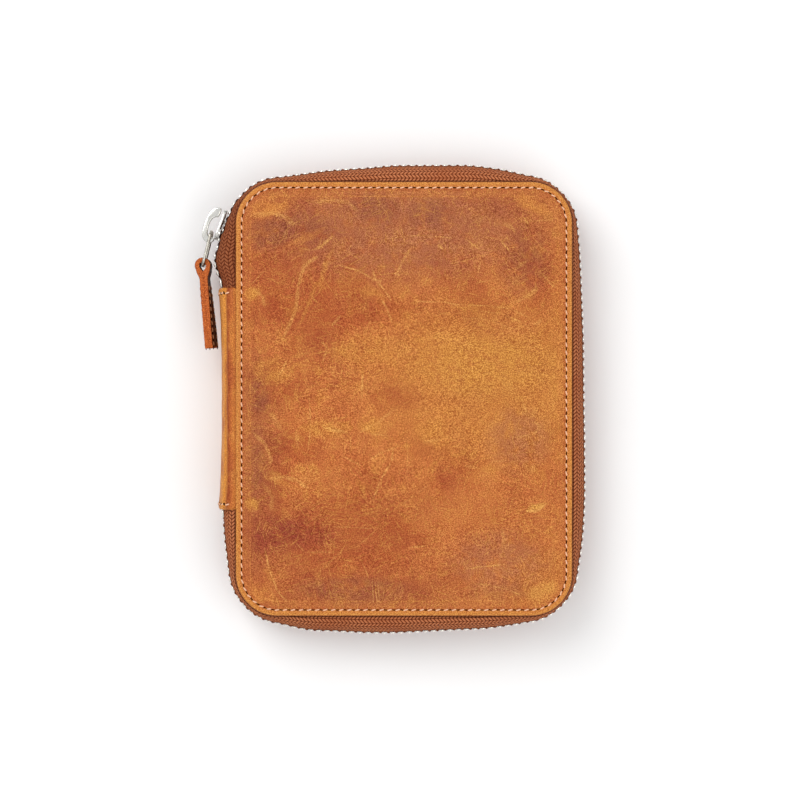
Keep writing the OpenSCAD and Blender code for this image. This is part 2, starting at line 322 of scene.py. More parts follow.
def rounded_outline(outline, times):
    """Cuts the corners of a closed outline so that it curves."""
    outline = np.asarray(outline, float)
    for _ in range(times):
        after = np.roll(outline, -1, 0)
        outline = np.stack([0.75 * outline + 0.25 * after, 0.25 * outline + 0.75 * after], 1).reshape(-1, 2)
    return outline


def counter_clockwise(outline):
    x, y = outline[:, 0], outline[:, 1]
    area = (x * np.roll(y, -1) - np.roll(x, -1) * y).sum()
    return outline if area > 0 else outline[::-1]


def prism(outline, depth, bevel, steps=3):
    """An outline in x and y, extruded along z from 0 to depth, with rounded edges."""
    outline = counter_clockwise(np.asarray(outline, float))
    rings = []
    for k in range(steps + 1):
        a = math.pi / 2 * k / steps
        ring = inset_outline(outline, bevel * (1 - math.sin(a)))
        rings.append(level_ring(ring, bevel * (1 - math.cos(a))))
    ends = [ring * [1, 1, -1] + [0, 0, depth] for ring in reversed(rings)]
    return loft(rings + ends)


def rounded_rect(half_w, half_l, radius, arc=14, along=(52, 72)):
    """Points round a rounded rectangle, counter-clockwise from its right side's upper end."""
    parts = []
    signs = [(1, 1), (-1, 1), (-1, -1), (1, -1)]
    corners = []
    for k, (sx, sy) in enumerate(signs):
        angles = np.radians(90 * k + np.linspace(0, 90, arc))
        centre = np.array([sx * (half_w - radius), sy * (half_l - radius)])
        corners.append(centre + radius * directions(angles))
    for k in range(4):
        start, end = corners[k][-1], corners[(k + 1) % 4][0]
        share = np.linspace(0, 1, along[k % 2] + 2)[1:-1, None]
        parts += [corners[k], start + (end - start) * share]
    return np.concatenate(parts)


def plate_ring(half_w, half_l, radius, inset):
    return rounded_rect(half_w - inset, half_l - inset, max(radius - inset, 0.6))


def walk(path, pitch, closed=True):
    """Evenly spaced points on a path of 2-D points, with their directions."""
    loop = np.vstack([path, path[:1]]) if closed else path
    along = lengths_along(loop)
    count = max(2, round(along[-1] / pitch))
    at = (np.arange(count) + 0.5) * along[-1] / count
    step = 0.05 * pitch

    def points_at(places):
        return np.stack([np.interp(places, along, loop[:, k]) for k in (0, 1)], 1)

    return points_at(at), unit(points_at(at + step) - points_at(at - step))


# ---------------------------------------------------------------- material graphs


def rgb(r, g, b):
    """A colour given in 8-bit display values."""
    linear = [(v / 255 / 12.92) if v <= 10 else ((v / 255 + 0.055) / 1.055) ** 2.4 for v in (r, g, b)]
    return (*linear, 1.0)


class Graph:
    """A material's node graph. Each call adds a node and returns its output."""

    def __init__(self, name):
        if name:
            self.material = bpy.data.materials.new(name)
            self.material.use_nodes = True
            self.tree = self.material.node_tree
            self.tree.nodes.clear()

    def node(self, kind, inputs, out=0, **settings):
        made = self.tree.nodes.new(kind)
        for key, value in settings.items():
            setattr(made, key, value)
        for key, value in inputs.items():
            if isinstance(value, bpy.types.NodeSocket):
                self.tree.links.new(value, made.inputs[key])
            else:
                made.inputs[key].default_value = value
        return made.outputs[out]

    def attribute(self, name, out="Vector"):
        return self.node("ShaderNodeAttribute", {}, out, attribute_name=name)

    def number(self, name):
        return self.attribute(name, "Fac")

    def math(self, operation, a, b=0.0, c=0.0):
        return self.node("ShaderNodeMath", {0: a, 1: b, 2: c}, operation=operation)

    def add(self, a, b):
        return self.math("ADD", a, b)

    def times(self, a, b):
        return self.math("MULTIPLY", a, b)

    def dot(self, vector, other):
        return self.node("ShaderNodeVectorMath", {0: vector, 1: other}, "Value", operation="DOT_PRODUCT")

    def parts(self, vector):
        made = self.tree.nodes.new("ShaderNodeSeparateXYZ")
        self.tree.links.new(vector, made.inputs[0])
        return made.outputs

    def joined(self, x, y):
        return self.node("ShaderNodeCombineXYZ", {0: x, 1: y, 2: 0.0})

    def stretched(self, vector, scale, turn=0.0, move=(0, 0, 0)):
        """Coordinates turned about z, then divided by scale."""
        inputs = {"Vector": vector, "Location": move, "Rotation": (0, 0, turn), "Scale": scale}
        return self.node("ShaderNodeMapping", inputs, vector_type="TEXTURE")

    def noise(self, vector, size, detail=4.0, rough=0.55, bend=0.0, out="Fac"):
        """Noise with lumps of the given size in millimetres."""
        inputs = {
            "Vector": vector, "Scale": 1 / size, "Detail": detail, "Roughness": rough, "Distortion": bend
        }
        return self.node("ShaderNodeTexNoise", inputs, out)

    def cells(self, vector, size):
        inputs = {"Vector": vector, "Scale": 1 / size}
        return self.node("ShaderNodeTexVoronoi", inputs, "Distance", feature="F1")

    def between(self, value, low, high, to_low=0.0, to_high=1.0):
        """Maps low..high to to_low..to_high with a smooth step, held at the ends."""
        inputs = {
            "Value": value, "From Min": low, "From Max": high, "To Min": to_low, "To Max": to_high
        }
        return self.node("ShaderNodeMapRange", inputs, interpolation_type="SMOOTHSTEP")

    def mix(self, share, a, b):
        return self.node("ShaderNodeMix", {0: share, 6: a, 7: b}, 2, data_type="RGBA", blend_type="MIX")

    def tinted(self, colour, value, none, full, share, tone):
        """Mixes in a tone as the value goes from none to full, up to the given share."""
        return self.mix(self.between(value, none, full, 0.0, share), colour, tone)

    def brighter(self, colour, times):
        return self.node("ShaderNodeVectorMath", {0: colour, "Scale": times}, operation="SCALE")

    def ramp(self, value, stops):
        made = self.tree.nodes.new("ShaderNodeValToRGB")
        elements = made.color_ramp.elements
        for k, (place, colour) in enumerate(stops):
            if k > 1:
                elements.new(place)
            elements[k].position = place
            elements[k].color = colour
        self.tree.links.new(value, made.inputs[0])
        return made.outputs[0]

    def bump(self, height, distance, strength=1.0):
        """Relief with heights of 0..1 over the given distance in millimetres."""
        inputs = {"Height": height, "Distance": distance * MM, "Strength": strength}
        return self.node("ShaderNodeBump", inputs)

    def finish(self, colour, roughness, normal=None, **constants):
        inputs = {"Base Color": colour, "Roughness": roughness}
        if normal is not None:
            inputs["Normal"] = normal
        inputs.update({key.replace("_", " "): value for key, value in constants.items()})
        shader = self.node("ShaderNodeBsdfPrincipled", inputs)
        self.tree.links.new(shader, self.tree.nodes.new("ShaderNodeOutputMaterial").inputs[0])
        return self.material


# Colours of the waxed leather, from its dark rubbed patches to its worn edges
TAN_DARK, TAN_RED = rgb(130, 56, 28), rgb(156, 70, 34)
TAN_MID, TAN_LIGHT = rgb(177, 92, 45), rgb(190, 110, 54)
TAN_EDGE, TAN_YELLOW = rgb(194, 118, 54), rgb(202, 138, 64)
TAN_PLUM, TAN_DUSK, TAN_GOLD = rgb(130, 66, 46), rgb(160, 92, 60), rgb(194, 126, 54)
TAN_WINE, TAN_SCUFF = rgb(134, 50, 34), rgb(216, 154, 80)


def make_spot_nodes():
    """A group of nodes: a soft ellipse times its strength, or the value passed in where larger."""
    g = Graph(None)
    g.tree = bpy.data.node_groups.new("soft_ellipse", "ShaderNodeTree")
    sockets = [("plan", "Vector"), ("along", "Vector"), ("along move", "Float"), ("across", "Vector"),
               ("across move", "Float"), ("strength", "Float"), ("found", "Float")]
    for label, kind in sockets:
        g.tree.interface.new_socket(label, in_out="INPUT", socket_type=f"NodeSocket{kind}")
    g.tree.interface.new_socket("value", in_out="OUTPUT", socket_type="NodeSocketFloat")
    given = g.tree.nodes.new("NodeGroupInput").outputs
    along = g.add(g.dot(given["plan"], given["along"]), given["along move"])
    across = g.add(g.dot(given["plan"], given["across"]), given["across move"])
    inside = g.between(g.math("MULTIPLY_ADD", along, along, g.times(across, across)), 0.0, 1.0, 1.0, 0.0)
    value = g.math("MAXIMUM", g.times(inside, given["strength"]), given["found"])
    g.tree.links.new(value, g.tree.nodes.new("NodeGroupOutput").inputs["value"])
    return g.tree


SPOT_NODES = make_spot_nodes()


def spot(g, plan, x, y, rx, ry, turn=0.0, strength=1.0, found=0.0):
    """A soft ellipse, strong in its middle and 0 at its rim, or the value found so far where larger."""
    cos, sin = math.cos(math.radians(turn)), math.sin(math.radians(turn))
    return g.node("ShaderNodeGroup", {
        "plan": plan, "along": (cos / rx, sin / rx, 0), "along move": -(x * cos + y * sin) / rx,
        "across": (-sin / ry, cos / ry, 0), "across move": (x * sin - y * cos) / ry,
        "strength": strength, "found": found
    }, node_tree=SPOT_NODES)


HAIRLINE_TURNS = (14, -58, 74, 38, -20, -80)


def scuffs(g, plan, strokes):
    """Soft marks along broken lines: each is its half width, its strength, and its points."""
    found = 0.0
    for width, strength, points in strokes:
        for (x0, y0), (x1, y1) in zip(points, points[1:]):
            length = math.hypot(x1 - x0, y1 - y0)
            turn = math.degrees(math.atan2(y1 - y0, x1 - x0))
            middle = ((x0 + x1) / 2, (y0 + y1) / 2)
            found = spot(g, plan, *middle, 0.6 * length + width, width, turn, strength, found)
    return found


def leather_relief(g, place):
    """Pores, wrinkles and nap of waxed leather, as a normal."""
    pores = g.between(g.cells(place, 0.55), 0.15, 0.75)
    nap = g.noise(place, 0.35, 3.0, 0.6)
    folds = g.noise(g.stretched(place, (1.0, 2.6, 1.0), 0.5), 1.7, 5.0, 0.62, 0.6)
    height = g.add(g.times(pores, 0.3), g.add(g.times(nap, 0.45), g.times(folds, 0.5)))
    return g.bump(height, 0.12, 0.6)


def napped(g, colour, place):
    """The colour under a fine cross-hatched nap, whose tips are paler and whose pits are darker."""
    shade = g.times(g.math("SUBTRACT", g.noise(place, 0.19, 0.0), 0.5), 2.2)
    for turn, share in ((0.65, 1.6), (-0.85, 1.6), (0.05, 1.0)):
        hatch = g.noise(g.stretched(place, (3.4, 1.0, 1.0), turn, (3 * turn, 0, 0)), 0.19, 0.0)
        shade = g.add(g.times(g.math("SUBTRACT", hatch, 0.5), share), shade)
    tint = g.ramp(g.add(g.times(shade, 0.9), 0.5), [
        (0.10, (0.30, 0.21, 0.12, 1)), (0.5, (0.5, 0.5, 0.5, 1)), (0.90, (0.74, 0.90, 1.0, 1))
    ])
    return g.brighter(g.node("ShaderNodeVectorMath", {0: colour, 1: tint}, operation="MULTIPLY"), 2.0)


def waxed_colour(g, place, seed):
    """The mottled tan of pull-up leather."""
    moved = g.stretched(place, (1, 1, 1), 0.0, (seed, -seed, 0))
    clouds = g.noise(moved, 20.0, 5.0, 0.58, 0.15)
    colour = g.ramp(clouds, [(0.34, TAN_RED), (0.50, TAN_MID), (0.68, TAN_LIGHT)])
    hue = g.noise(g.stretched(moved, (1, 1, 1), 0.0, (40, 10, 5)), 6.0, 3.0, 0.58, 0.3)
    colour = g.tinted(colour, hue, 0.51, 0.70, 0.50, TAN_GOLD)
    colour = g.tinted(colour, hue, 0.49, 0.30, 0.45, TAN_RED)
    mottle = g.noise(g.stretched(moved, (2.2, 1, 1), 0.3), 1.3, 2.0, 0.6, 0.3)
    colour = g.tinted(colour, mottle, 0.54, 0.74, 0.13, TAN_LIGHT)
    return g.tinted(colour, mottle, 0.46, 0.27, 0.16, TAN_RED)


def hairlines(g, plan, turn, seed, share):
    """Many faint parallel hairline scratches in one direction, in patches."""
    lines = g.noise(g.stretched(plan, (10, 0.42, 1), math.radians(turn), (seed, seed, 0)), 1.0, 1.0, 0.5)
    patches = g.noise(g.stretched(plan, (1, 1, 1), 0.0, (seed * 7, 0, 0)), 13.0, 3.0)
    return g.times(g.between(lines, 0.60, 0.70, 0.0, share), g.between(patches, 0.42, 0.58))


def cover_material(name, seed, zones, patches, creases, strokes):
    g = Graph(name)
    place = g.attribute("rest")
    x, y, _ = g.parts(place)
    plan = g.joined(x, y)
    drift = g.node("ShaderNodeVectorMath", {0: g.noise(plan, 9.0, 2.0, out="Color"), 1: (0.5, 0.5, 0.5)},
                   operation="SUBTRACT")

    def bent(by):
        inputs = {0: drift, 1: (by, by, 0), 2: plan}
        return g.node("ShaderNodeVectorMath", inputs, operation="MULTIPLY_ADD")

    colour = waxed_colour(g, place, seed)
    loose = bent(9.0)
    for *ellipse, turn, tone, share in zones:
        colour = g.mix(spot(g, loose, *ellipse, turn, share), colour, tone)
    torn = g.between(g.noise(plan, 5.0, 3.0, 0.6), 0.26, 0.58)
    near = bent(5.0)
    for *ellipse, turn, tone, share in patches:
        colour = g.mix(g.times(spot(g, near, *ellipse, turn, share), torn), colour, tone)
    wrinkles = g.noise(g.stretched(bent(6.0), (6.0, 1.0, 1.0), 0.0, (9, 2, 0)), 0.50, 1.0, 0.6)
    where = g.between(g.noise(plan, 17.0, 2.0), 0.50, 0.62, 0.0, 0.4)
    for ellipse in creases:
        where = spot(g, near, *ellipse, 1.0, where)
    colour = g.mix(g.times(g.between(wrinkles, 0.50, 0.30, 0.0, 0.45), where), colour, TAN_DARK)
    colour = g.mix(g.times(g.between(wrinkles, 0.50, 0.70, 0.0, 0.45), where), colour, TAN_YELLOW)
    inset = g.number("inset")

    def off(line):
        return g.math("ABSOLUTE", g.math("SUBTRACT", inset, line))

    # Mottle that breaks up the worn edge bands and the painted shade along the stitches
    wear_and_shade_mottle = g.noise(place, 5.0, 5.0, 0.7)
    wide = g.between(g.add(inset, g.times(wear_and_shade_mottle, 12.0)), 14.0, 8.0, 0.0, 0.45)
    colour = g.mix(wide, colour, TAN_LIGHT)
    board_line = g.between(off(LINING_INSET + 4.3), 0.0, 0.5, 0.55, 0.0)
    colour = g.mix(g.times(board_line, g.between(wear_and_shade_mottle, 0.36, 0.56)), colour, TAN_EDGE)
    band = g.between(g.add(inset, g.times(wear_and_shade_mottle, 1.4)), 3.6, 2.4, 0.0, 0.9)
    colour = g.mix(band, colour, TAN_EDGE)
    rim = g.between(g.add(inset, g.times(wear_and_shade_mottle, 0.6)), 1.5, 0.8, 0.0, 0.5)
    colour = g.mix(rim, colour, TAN_YELLOW)
    # Painted shade: a mottled red-brown band along the stitch line, where the leather is drawn into the seam
    stitch_groove_shade = g.between(off(STITCH_INSET + 0.5), 0.2, 1.4, 0.6, 0.0)
    colour = g.mix(g.times(stitch_groove_shade, g.between(wear_and_shade_mottle, 0.38, 0.60, 0.35, 1.0)), colour, TAN_RED)
    curved = bent(3.5)
    faint = 0.0
    for k, turn in enumerate(HAIRLINE_TURNS):
        faint = g.math("MAXIMUM", hairlines(g, curved, turn, seed + 3 * k, 0.5), faint)
    colour = g.mix(faint, colour, TAN_YELLOW)
    worn = g.between(g.noise(plan, 1.1, 3.0, 0.7), 0.30, 0.60, 0.35, 1.0)
    colour = g.mix(g.times(scuffs(g, bent(1.2), strokes), g.times(worn, 0.68)), colour, TAN_SCUFF)
    cut = g.between(inset, 0.55, 0.05)
    colour = g.mix(g.times(cut, 0.6), colour, TAN_RED)
    colour = napped(g, colour, place)
    gloss = g.between(g.noise(place, 8.0, 5.0, 0.65), 0.3, 0.7, 0.52, 0.70)
    return g.finish(colour, gloss, leather_relief(g, place), Specular_IOR_Level=0.16)


def strip_material(name, tones, streak_axis, seed):
    """Leather with streaks along one axis, for the pull."""
    g = Graph(name)
    place = g.attribute("rest")
    long = [1.0, 1.0, 1.0]
    long[streak_axis] = 9.0
    streaks = g.noise(g.stretched(place, long, 0.0, (seed, seed, seed)), 2.2, 5.0, 0.62, 0.4)
    steps = np.linspace(0.32, 0.70, len(tones))
    colour = g.ramp(streaks, list(zip(steps, tones)))
    fine = g.noise(place, 0.8, 3.0, 0.7)
    colour = g.tinted(colour, fine, 0.42, 0.22, 0.6, tones[0])
    colour = g.tinted(colour, fine, 0.58, 0.78, 0.5, tones[-1])
    cut = g.number("cut")
    fibres = g.noise(place, 0.45, 4.0, 0.75)
    raw = g.ramp(fibres, [(0.3, rgb(128, 52, 16)), (0.5, rgb(178, 84, 30)), (0.7, rgb(206, 118, 56))])
    colour = g.mix(cut, colour, raw)
    colour = napped(g, colour, place)
    gloss = g.between(streaks, 0.3, 0.7, 0.48, 0.66)
    return g.finish(colour, gloss, leather_relief(g, place), Specular_IOR_Level=0.18)


def spine_material():
    """The strip's leather, coloured by its place across the bow: creased at the cover, then red-brown, then a
    bright orange painted highlight, and duller painted shade at the bow.
    """
    g = Graph("spine_waxed_leather")
    place = g.attribute("rest")
    across = g.number("across")
    streaks = g.noise(g.stretched(place, (1.0, 5.0, 1.0), 0.0, (5, 5, 5)), 2.0, 4.0, 0.6, 0.2)
    wander = g.noise(g.stretched(place, (1.0, 3.0, 1.0)), 7.0, 4.0, 0.6)
    at = g.add(across, g.times(g.math("SUBTRACT", wander, 0.5), 0.4))
    # Light and shade painted across the bow: a bright orange painted highlight part way round, and duller
    # painted shade at the bow's outermost part
    colour = g.ramp(at, [
        (0.02, rgb(190, 110, 46)), (0.12, rgb(176, 92, 40)), (0.22, rgb(142, 62, 26)),
        (0.34, rgb(204, 126, 46)), (0.50, rgb(206, 132, 54)), (0.78, rgb(176, 112, 62))
    ])
    clouds = g.noise(place, 11.0, 4.0, 0.55)
    colour = g.tinted(colour, clouds, 0.48, 0.30, 0.5, TAN_RED)
    colour = g.tinted(colour, clouds, 0.54, 0.70, 0.4, TAN_YELLOW)
    colour = g.tinted(colour, streaks, 0.48, 0.30, 0.4, TAN_RED)
    colour = g.tinted(colour, streaks, 0.54, 0.72, 0.4, TAN_YELLOW)
    colour = napped(g, colour, place)
    gloss = g.between(streaks, 0.3, 0.7, 0.50, 0.68)
    return g.finish(colour, gloss, leather_relief(g, place), Specular_IOR_Level=0.18)


def tape_material():
    """Herringbone tape: slanted ribs with yarns inside them, painted shade in the grooves and at the toothed
    edge, and the cover's painted shadow.
    """
    g = Graph("zip_tape_weave")
    s, t, _ = g.parts(g.attribute("cloth"))
    row = g.math("DIVIDE", t, WEAVE_ROW)
    sign = g.math("SUBTRACT", g.times(g.math("FLOOR", g.math("FLOORED_MODULO", row, 2.0)), 2.0), 1.0)
    across = g.math("FRACT", row)
    phase = g.add(g.math("DIVIDE", s, WEAVE_PITCH), g.times(sign, across))
    rib = g.math("ABSOLUTE", g.math("SINE", g.times(phase, math.pi)))
    seam = g.between(g.math("ABSOLUTE", g.math("SUBTRACT", across, 0.5)), 0.36, 0.5, 1.0, 0.25)
    height = g.times(g.math("POWER", rib, 0.6), seam)
    place = g.attribute("rest")
    yarn = g.noise(place, 0.28, 3.0, 0.7)
    rough = g.noise(place, 0.9, 3.0, 0.6)
    height = g.add(height, g.times(yarn, 0.45))
    # Painted shade: the colour follows the weave's height, dark in the grooves and lighter on the rib tops
    colour = g.ramp(g.add(g.times(height, 0.8), g.times(rough, 0.25)), [
        (0.28, rgb(46, 14, 4)), (0.60, rgb(112, 50, 22)), (0.86, rgb(160, 86, 50)), (1.0, rgb(196, 120, 78))
    ])
    cloudy = g.noise(place, 14.0, 3.0)
    colour = g.tinted(colour, cloudy, 0.4, 0.7, 0.35, rgb(150, 70, 34))
    # Painted shadow of the cover's edge, darkest on the tape right beside the cover
    colour = g.tinted(colour, g.number("beside"), 1.0, 0.4, 0.7, rgb(52, 20, 8))
    colour = g.tinted(colour, s, 60.0, 30.0, 0.5, rgb(92, 38, 16))
    # Painted shade at the toothed edge: the bead and the gaps between the teeth darkened, most on the stretch
    # by the slider
    bead = g.times(g.between(t, 3.5, 2.2), g.between(s, 60.0, 30.0, 0.55, 0.9))
    colour = g.mix(bead, colour, rgb(44, 22, 14))
    return g.finish(colour, 0.88, g.bump(height, 0.30, 1.0), Specular_IOR_Level=0.1)


def metal_material(name, tint, pale, rough_low, rough_high):
    g = Graph(name)
    place = g.attribute("rest")
    fine = g.noise(g.stretched(place, (3.0, 0.25, 3.0), 0.4), 0.5, 3.0, 0.6)
    broad = g.noise(place, 3.0, 3.0, 0.6)
    colour = g.mix(g.between(broad, 0.35, 0.7), tint, pale)
    gloss = g.between(g.add(g.times(fine, 0.5), g.times(broad, 0.5)), 0.35, 0.65, rough_low, rough_high)
    return g.finish(colour, gloss, g.bump(fine, 0.004, 0.3), Metallic=1.0)


def thread_material(name, light, dark):
    g = Graph(name)
    place = g.attribute("rest")
    along = g.number("along")
    twist = g.math("SINE", g.times(along, 2 * math.pi / 0.42))
    fuzz = g.noise(place, 0.22, 3.0, 0.7)
    height = g.add(g.times(twist, 0.5), fuzz)
    colour = g.mix(g.between(height, -0.1, 1.0), dark, light)
    return g.finish(colour, 0.72, g.bump(height, 0.06, 0.7), Specular_IOR_Level=0.25, Sheen_Weight=0.15)


def hole_material():
    g = Graph("needle_hole")
    place = g.attribute("rest")
    # Painted shade: near black, standing for the shadow inside the needle hole
    colour = g.ramp(g.noise(place, 0.3, 3.0, 0.7), [(0.3, rgb(22, 4, 0)), (0.7, rgb(56, 16, 4))])
    return g.finish(colour, 1.0, g.bump(g.noise(place, 0.2, 2.0), 0.03), Specular_IOR_Level=0.0)


def suede_material(name, tones):
    g = Graph(name)
    place = g.attribute("rest")
    nap = g.noise(place, 0.30, 4.0, 0.75)
    brushed = g.noise(g.stretched(place, (3.5, 1.0, 1.0), 0.35), 7.0, 5.0, 0.6, 0.7)
    colour = g.ramp(g.add(g.times(nap, 0.45), g.times(brushed, 0.55)), list(zip((0.32, 0.5, 0.68), tones)))
    return g.finish(colour, 0.95, g.bump(nap, 0.10, 0.8), Specular_IOR_Level=0.12, Sheen_Weight=0.3)


def grain_material(name, tones):
    """Dark pebbled leather of the pen panels."""
    g = Graph(name)
    place = g.attribute("rest")
    pebble = g.between(g.cells(place, 1.15), 0.05, 0.65)
    wide = g.noise(place, 16.0, 5.0, 0.6)
    colour = g.ramp(wide, list(zip((0.35, 0.5, 0.65), tones)))
    colour = g.tinted(colour, pebble, 0.75, 1.0, 0.5, tones[0])
    height = g.add(g.math("SUBTRACT", 1.0, pebble), g.times(g.noise(place, 0.4, 3.0, 0.6), 0.3))
    return g.finish(colour, g.between(wide, 0.3, 0.7, 0.42, 0.56), g.bump(height, 0.10, 0.7),
                    Specular_IOR_Level=0.35)


def elastic_material():
    g = Graph("ribbed_elastic")
    s, t, _ = g.parts(g.attribute("cloth"))
    rib = g.math("ABSOLUTE", g.math("SINE", g.times(t, math.pi / ELASTIC_RIB)))
    knit = g.math("ABSOLUTE", g.math("SINE", g.add(g.times(s, math.pi / 0.55), g.times(rib, 1.2))))
    place = g.attribute("rest")
    fuzz = g.noise(place, 0.25, 3.0, 0.7)
    height = g.add(g.times(rib, 0.6), g.add(g.times(knit, 0.3), g.times(fuzz, 0.25)))
    colour = g.ramp(height, [(0.15, rgb(38, 20, 10)), (0.6, rgb(84, 50, 30)), (1.0, rgb(118, 76, 48))])
    return g.finish(colour, 0.85, g.bump(height, 0.16, 0.8), Specular_IOR_Level=0.18, Sheen_Weight=0.15)


def board_material():
    g = Graph("grey_board")
    place = g.node("ShaderNodeTexCoord", {}, "Object")
    fibres = g.noise(g.stretched(place, (0.004, 0.001, 0.001)), 1000 * MM, 5.0, 0.7)
    flecks = g.noise(place, 0.0006, 3.0, 0.7)
    colour = g.ramp(fibres, [(0.35, rgb(128, 118, 104)), (0.65, rgb(164, 154, 138))])
    colour = g.tinted(colour, flecks, 0.62, 0.75, 0.5, rgb(96, 82, 66))
    return g.finish(colour, 0.92, g.bump(flecks, 0.05, 0.6), Specular_IOR_Level=0.15)


# ---------------------------------------------------------------- camera, floor and light

VIEW_X, VIEW_Y, CAMERA_Z = -0.00164, -0.00049, 1.2
VIEW_WIDTH = 0.328


def make_stage():
    data = bpy.data.cameras.new("camera")
    camera = bpy.data.objects.new("camera", data)
    bpy.context.scene.collection.objects.link(camera)
    camera.location = (VIEW_X, VIEW_Y, CAMERA_Z)
    data.sensor_width = 36.0
    data.lens = data.sensor_width * (CAMERA_Z - CASE_T * MM) / VIEW_WIDTH
    bpy.context.scene.camera = camera

    world = bpy.data.worlds.new("studio")
    world.use_nodes = True
    sky = world.node_tree
    coordinates = sky.nodes.new("ShaderNodeTexCoord")
    split = sky.nodes.new("ShaderNodeSeparateXYZ")
    fade = sky.nodes.new("ShaderNodeValToRGB")
    sky.links.new(coordinates.outputs["Generated"], split.inputs[0])
    sky.links.new(split.outputs["Z"], fade.inputs["Fac"])
    for k, (height, grey) in enumerate(((0.24, 0.95), (0.34, 0.16), (0.46, 0.16), (0.66, 0.85))):
        if k > 1:
            fade.color_ramp.elements.new(height)
        fade.color_ramp.elements[k].position = height
        fade.color_ramp.elements[k].color = (grey, grey, grey, 1.0)
    sky.links.new(fade.outputs["Color"], sky.nodes["Background"].inputs["Color"])
    sky.nodes["Background"].inputs["Strength"].default_value = 1.0
    bpy.context.scene.world = world
    bpy.context.scene.view_settings.view_transform = "Standard"

    for name, place, size, power in (
        ("key_light", (-0.75, 0.85, 1.5), 1.1, 15.0),
        ("fill_light", (0.9, -0.7, 1.6), 1.6, 9.0),
    ):
        light = bpy.data.lights.new(name, "AREA")
        light.size = size
        light.energy = power
        lamp = bpy.data.objects.new(name, light)
        bpy.context.scene.collection.objects.link(lamp)
        lamp.location = place
        lamp.rotation_euler = (-Vector(place)).to_track_quat("-Z", "Y").to_euler()

    g = Graph("pale_floor")
    spread = g.noise(g.node("ShaderNodeTexCoord", {}, "Object"), 0.05, 4.0, 0.5)
    colour = g.mix(spread, rgb(250, 250, 250), rgb(247, 247, 247))
    floor_material = g.finish(colour, 0.8, Specular_IOR_Level=0.1)
    mesh = bpy.data.meshes.new("floor")
    reach, depth = 3.0, -0.0004
    mesh.from_pydata([(-reach, -reach, depth), (reach, -reach, depth), (reach, reach, depth),
                      (-reach, reach, depth)], [], [(0, 1, 2, 3)])
    mesh.materials.append(floor_material)
    floor = bpy.data.objects.new("floor", mesh)
    bpy.context.scene.collection.objects.link(floor)


# ---------------------------------------------------------------- stitches


THREAD_L, THREAD_R, THREAD_LIFT = 2.05, 0.29, 0.14
HOLE_L, HOLE_W, HOLE_H = 2.1, 1.3, 0.07
THREAD_SLANT, HOLE_SLANT = math.radians(16), math.radians(-34)


def stitch_shape():
    """A thread that dips into the leather at both ends, along x with z up."""
    rings = []
    for k in np.linspace(-1, 1, 9):
        thick = THREAD_R * max(1 - abs(k) ** 5, 0.12) ** 0.5
        height = THREAD_LIFT * (1 - k * k) - 0.30 * THREAD_R * abs(k) ** 3
        around = np.radians(np.arange(0, 360, 45))
        rings.append([(k * THREAD_L / 2, thick * math.cos(a), height + thick * math.sin(a)) for a in around])
    return loft(rings)


def hole_shape():
    """The dent where the thread goes down, as a low lens that carries the hole's painted shade."""
    rings = []
    for k in np.linspace(0.02, 1, 5):
        around = np.radians(np.arange(0, 360, 30))
        r = math.sin(k * math.pi / 2)
        rings.append([
            (r * HOLE_L / 2 * math.cos(a), r * HOLE_W / 2 * math.sin(a), HOLE_H * math.cos(k * math.pi / 2))
            for a in around
        ])
    rings.append([(x * 0.9, y * 0.9, -HOLE_H) for x, y, _ in rings[-1]])
    return loft(rings)


def seam(points, along, up, slant=THREAD_SLANT):
    """Threads at points in rows along a seam, and the holes half way to the next ones."""
    side = np.cross(up, along)
    shapes = []
    for shape, turn, shift in (
        (stitch_shape(), slant, 0.0),
        (hole_shape(), math.copysign(HOLE_SLANT, -slant), 0.5),
    ):
        ahead = math.cos(turn) * along + math.sin(turn) * side
        across = np.cross(up, ahead)
        gap = (np.roll(points, -1, 0) - points) * shift
        if shift and np.linalg.norm(gap[-1]) > 2 * np.linalg.norm(gap[0]):
            gap[-1] = gap[-2]
        shapes.append(scattered(shape, points + gap, ahead, across, up))
    return shapes


def thread_piece(name, threads, count, material):
    local = np.tile(stitch_shape()[0][:, 0], count)
    return build(f"{name}_threads", threads, material, along=local)


def sewn(name, points, along, up, thread, hole, ride_on):
    """Builds a seam's threads and holes as two pieces, and lets ride_on attach each of them."""
    threads, holes = seam(points, along, up)
    ride_on(thread_piece(name, threads, len(points), thread))
    ride_on(build(f"{name}_needle_holes", holes, hole))


def riding(body):
    return lambda piece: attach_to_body(piece, body)


def fixed(piece, body, node):
    """A piece that rides on one body and stands for one CAD node."""
    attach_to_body(piece, body)
    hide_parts(node)


# ---------------------------------------------------------------- covers

# Height of the outer face at each inset from the edge
COVER_PROFILE = np.array([
    [0.0, -0.62], [0.04, -0.38], [0.14, -0.18], [0.32, -0.05], [0.6, 0.0], [1.2, 0.03], [1.75, 0.0],
    [2.1, -0.12], [2.4, -0.22], [2.7, -0.12], [3.05, 0.02], [3.5, 0.07], [3.9, 0.02], [4.15, -0.04],
    [4.4, 0.02], [4.9, 0.10], [5.8, 0.15], [7.0, 0.18]
])
UNDER_PROFILE = [(12.0, 0.0), (1.0, 0.0), (0.3, 0.06), (0.06, 0.25), (0.0, 0.5)]
DOME = 0.75
FRONT_SEAM_DEPTH, BACK_SEAM_DEPTH = 0.20, 0.26
STRIP_TAIL = 7.0


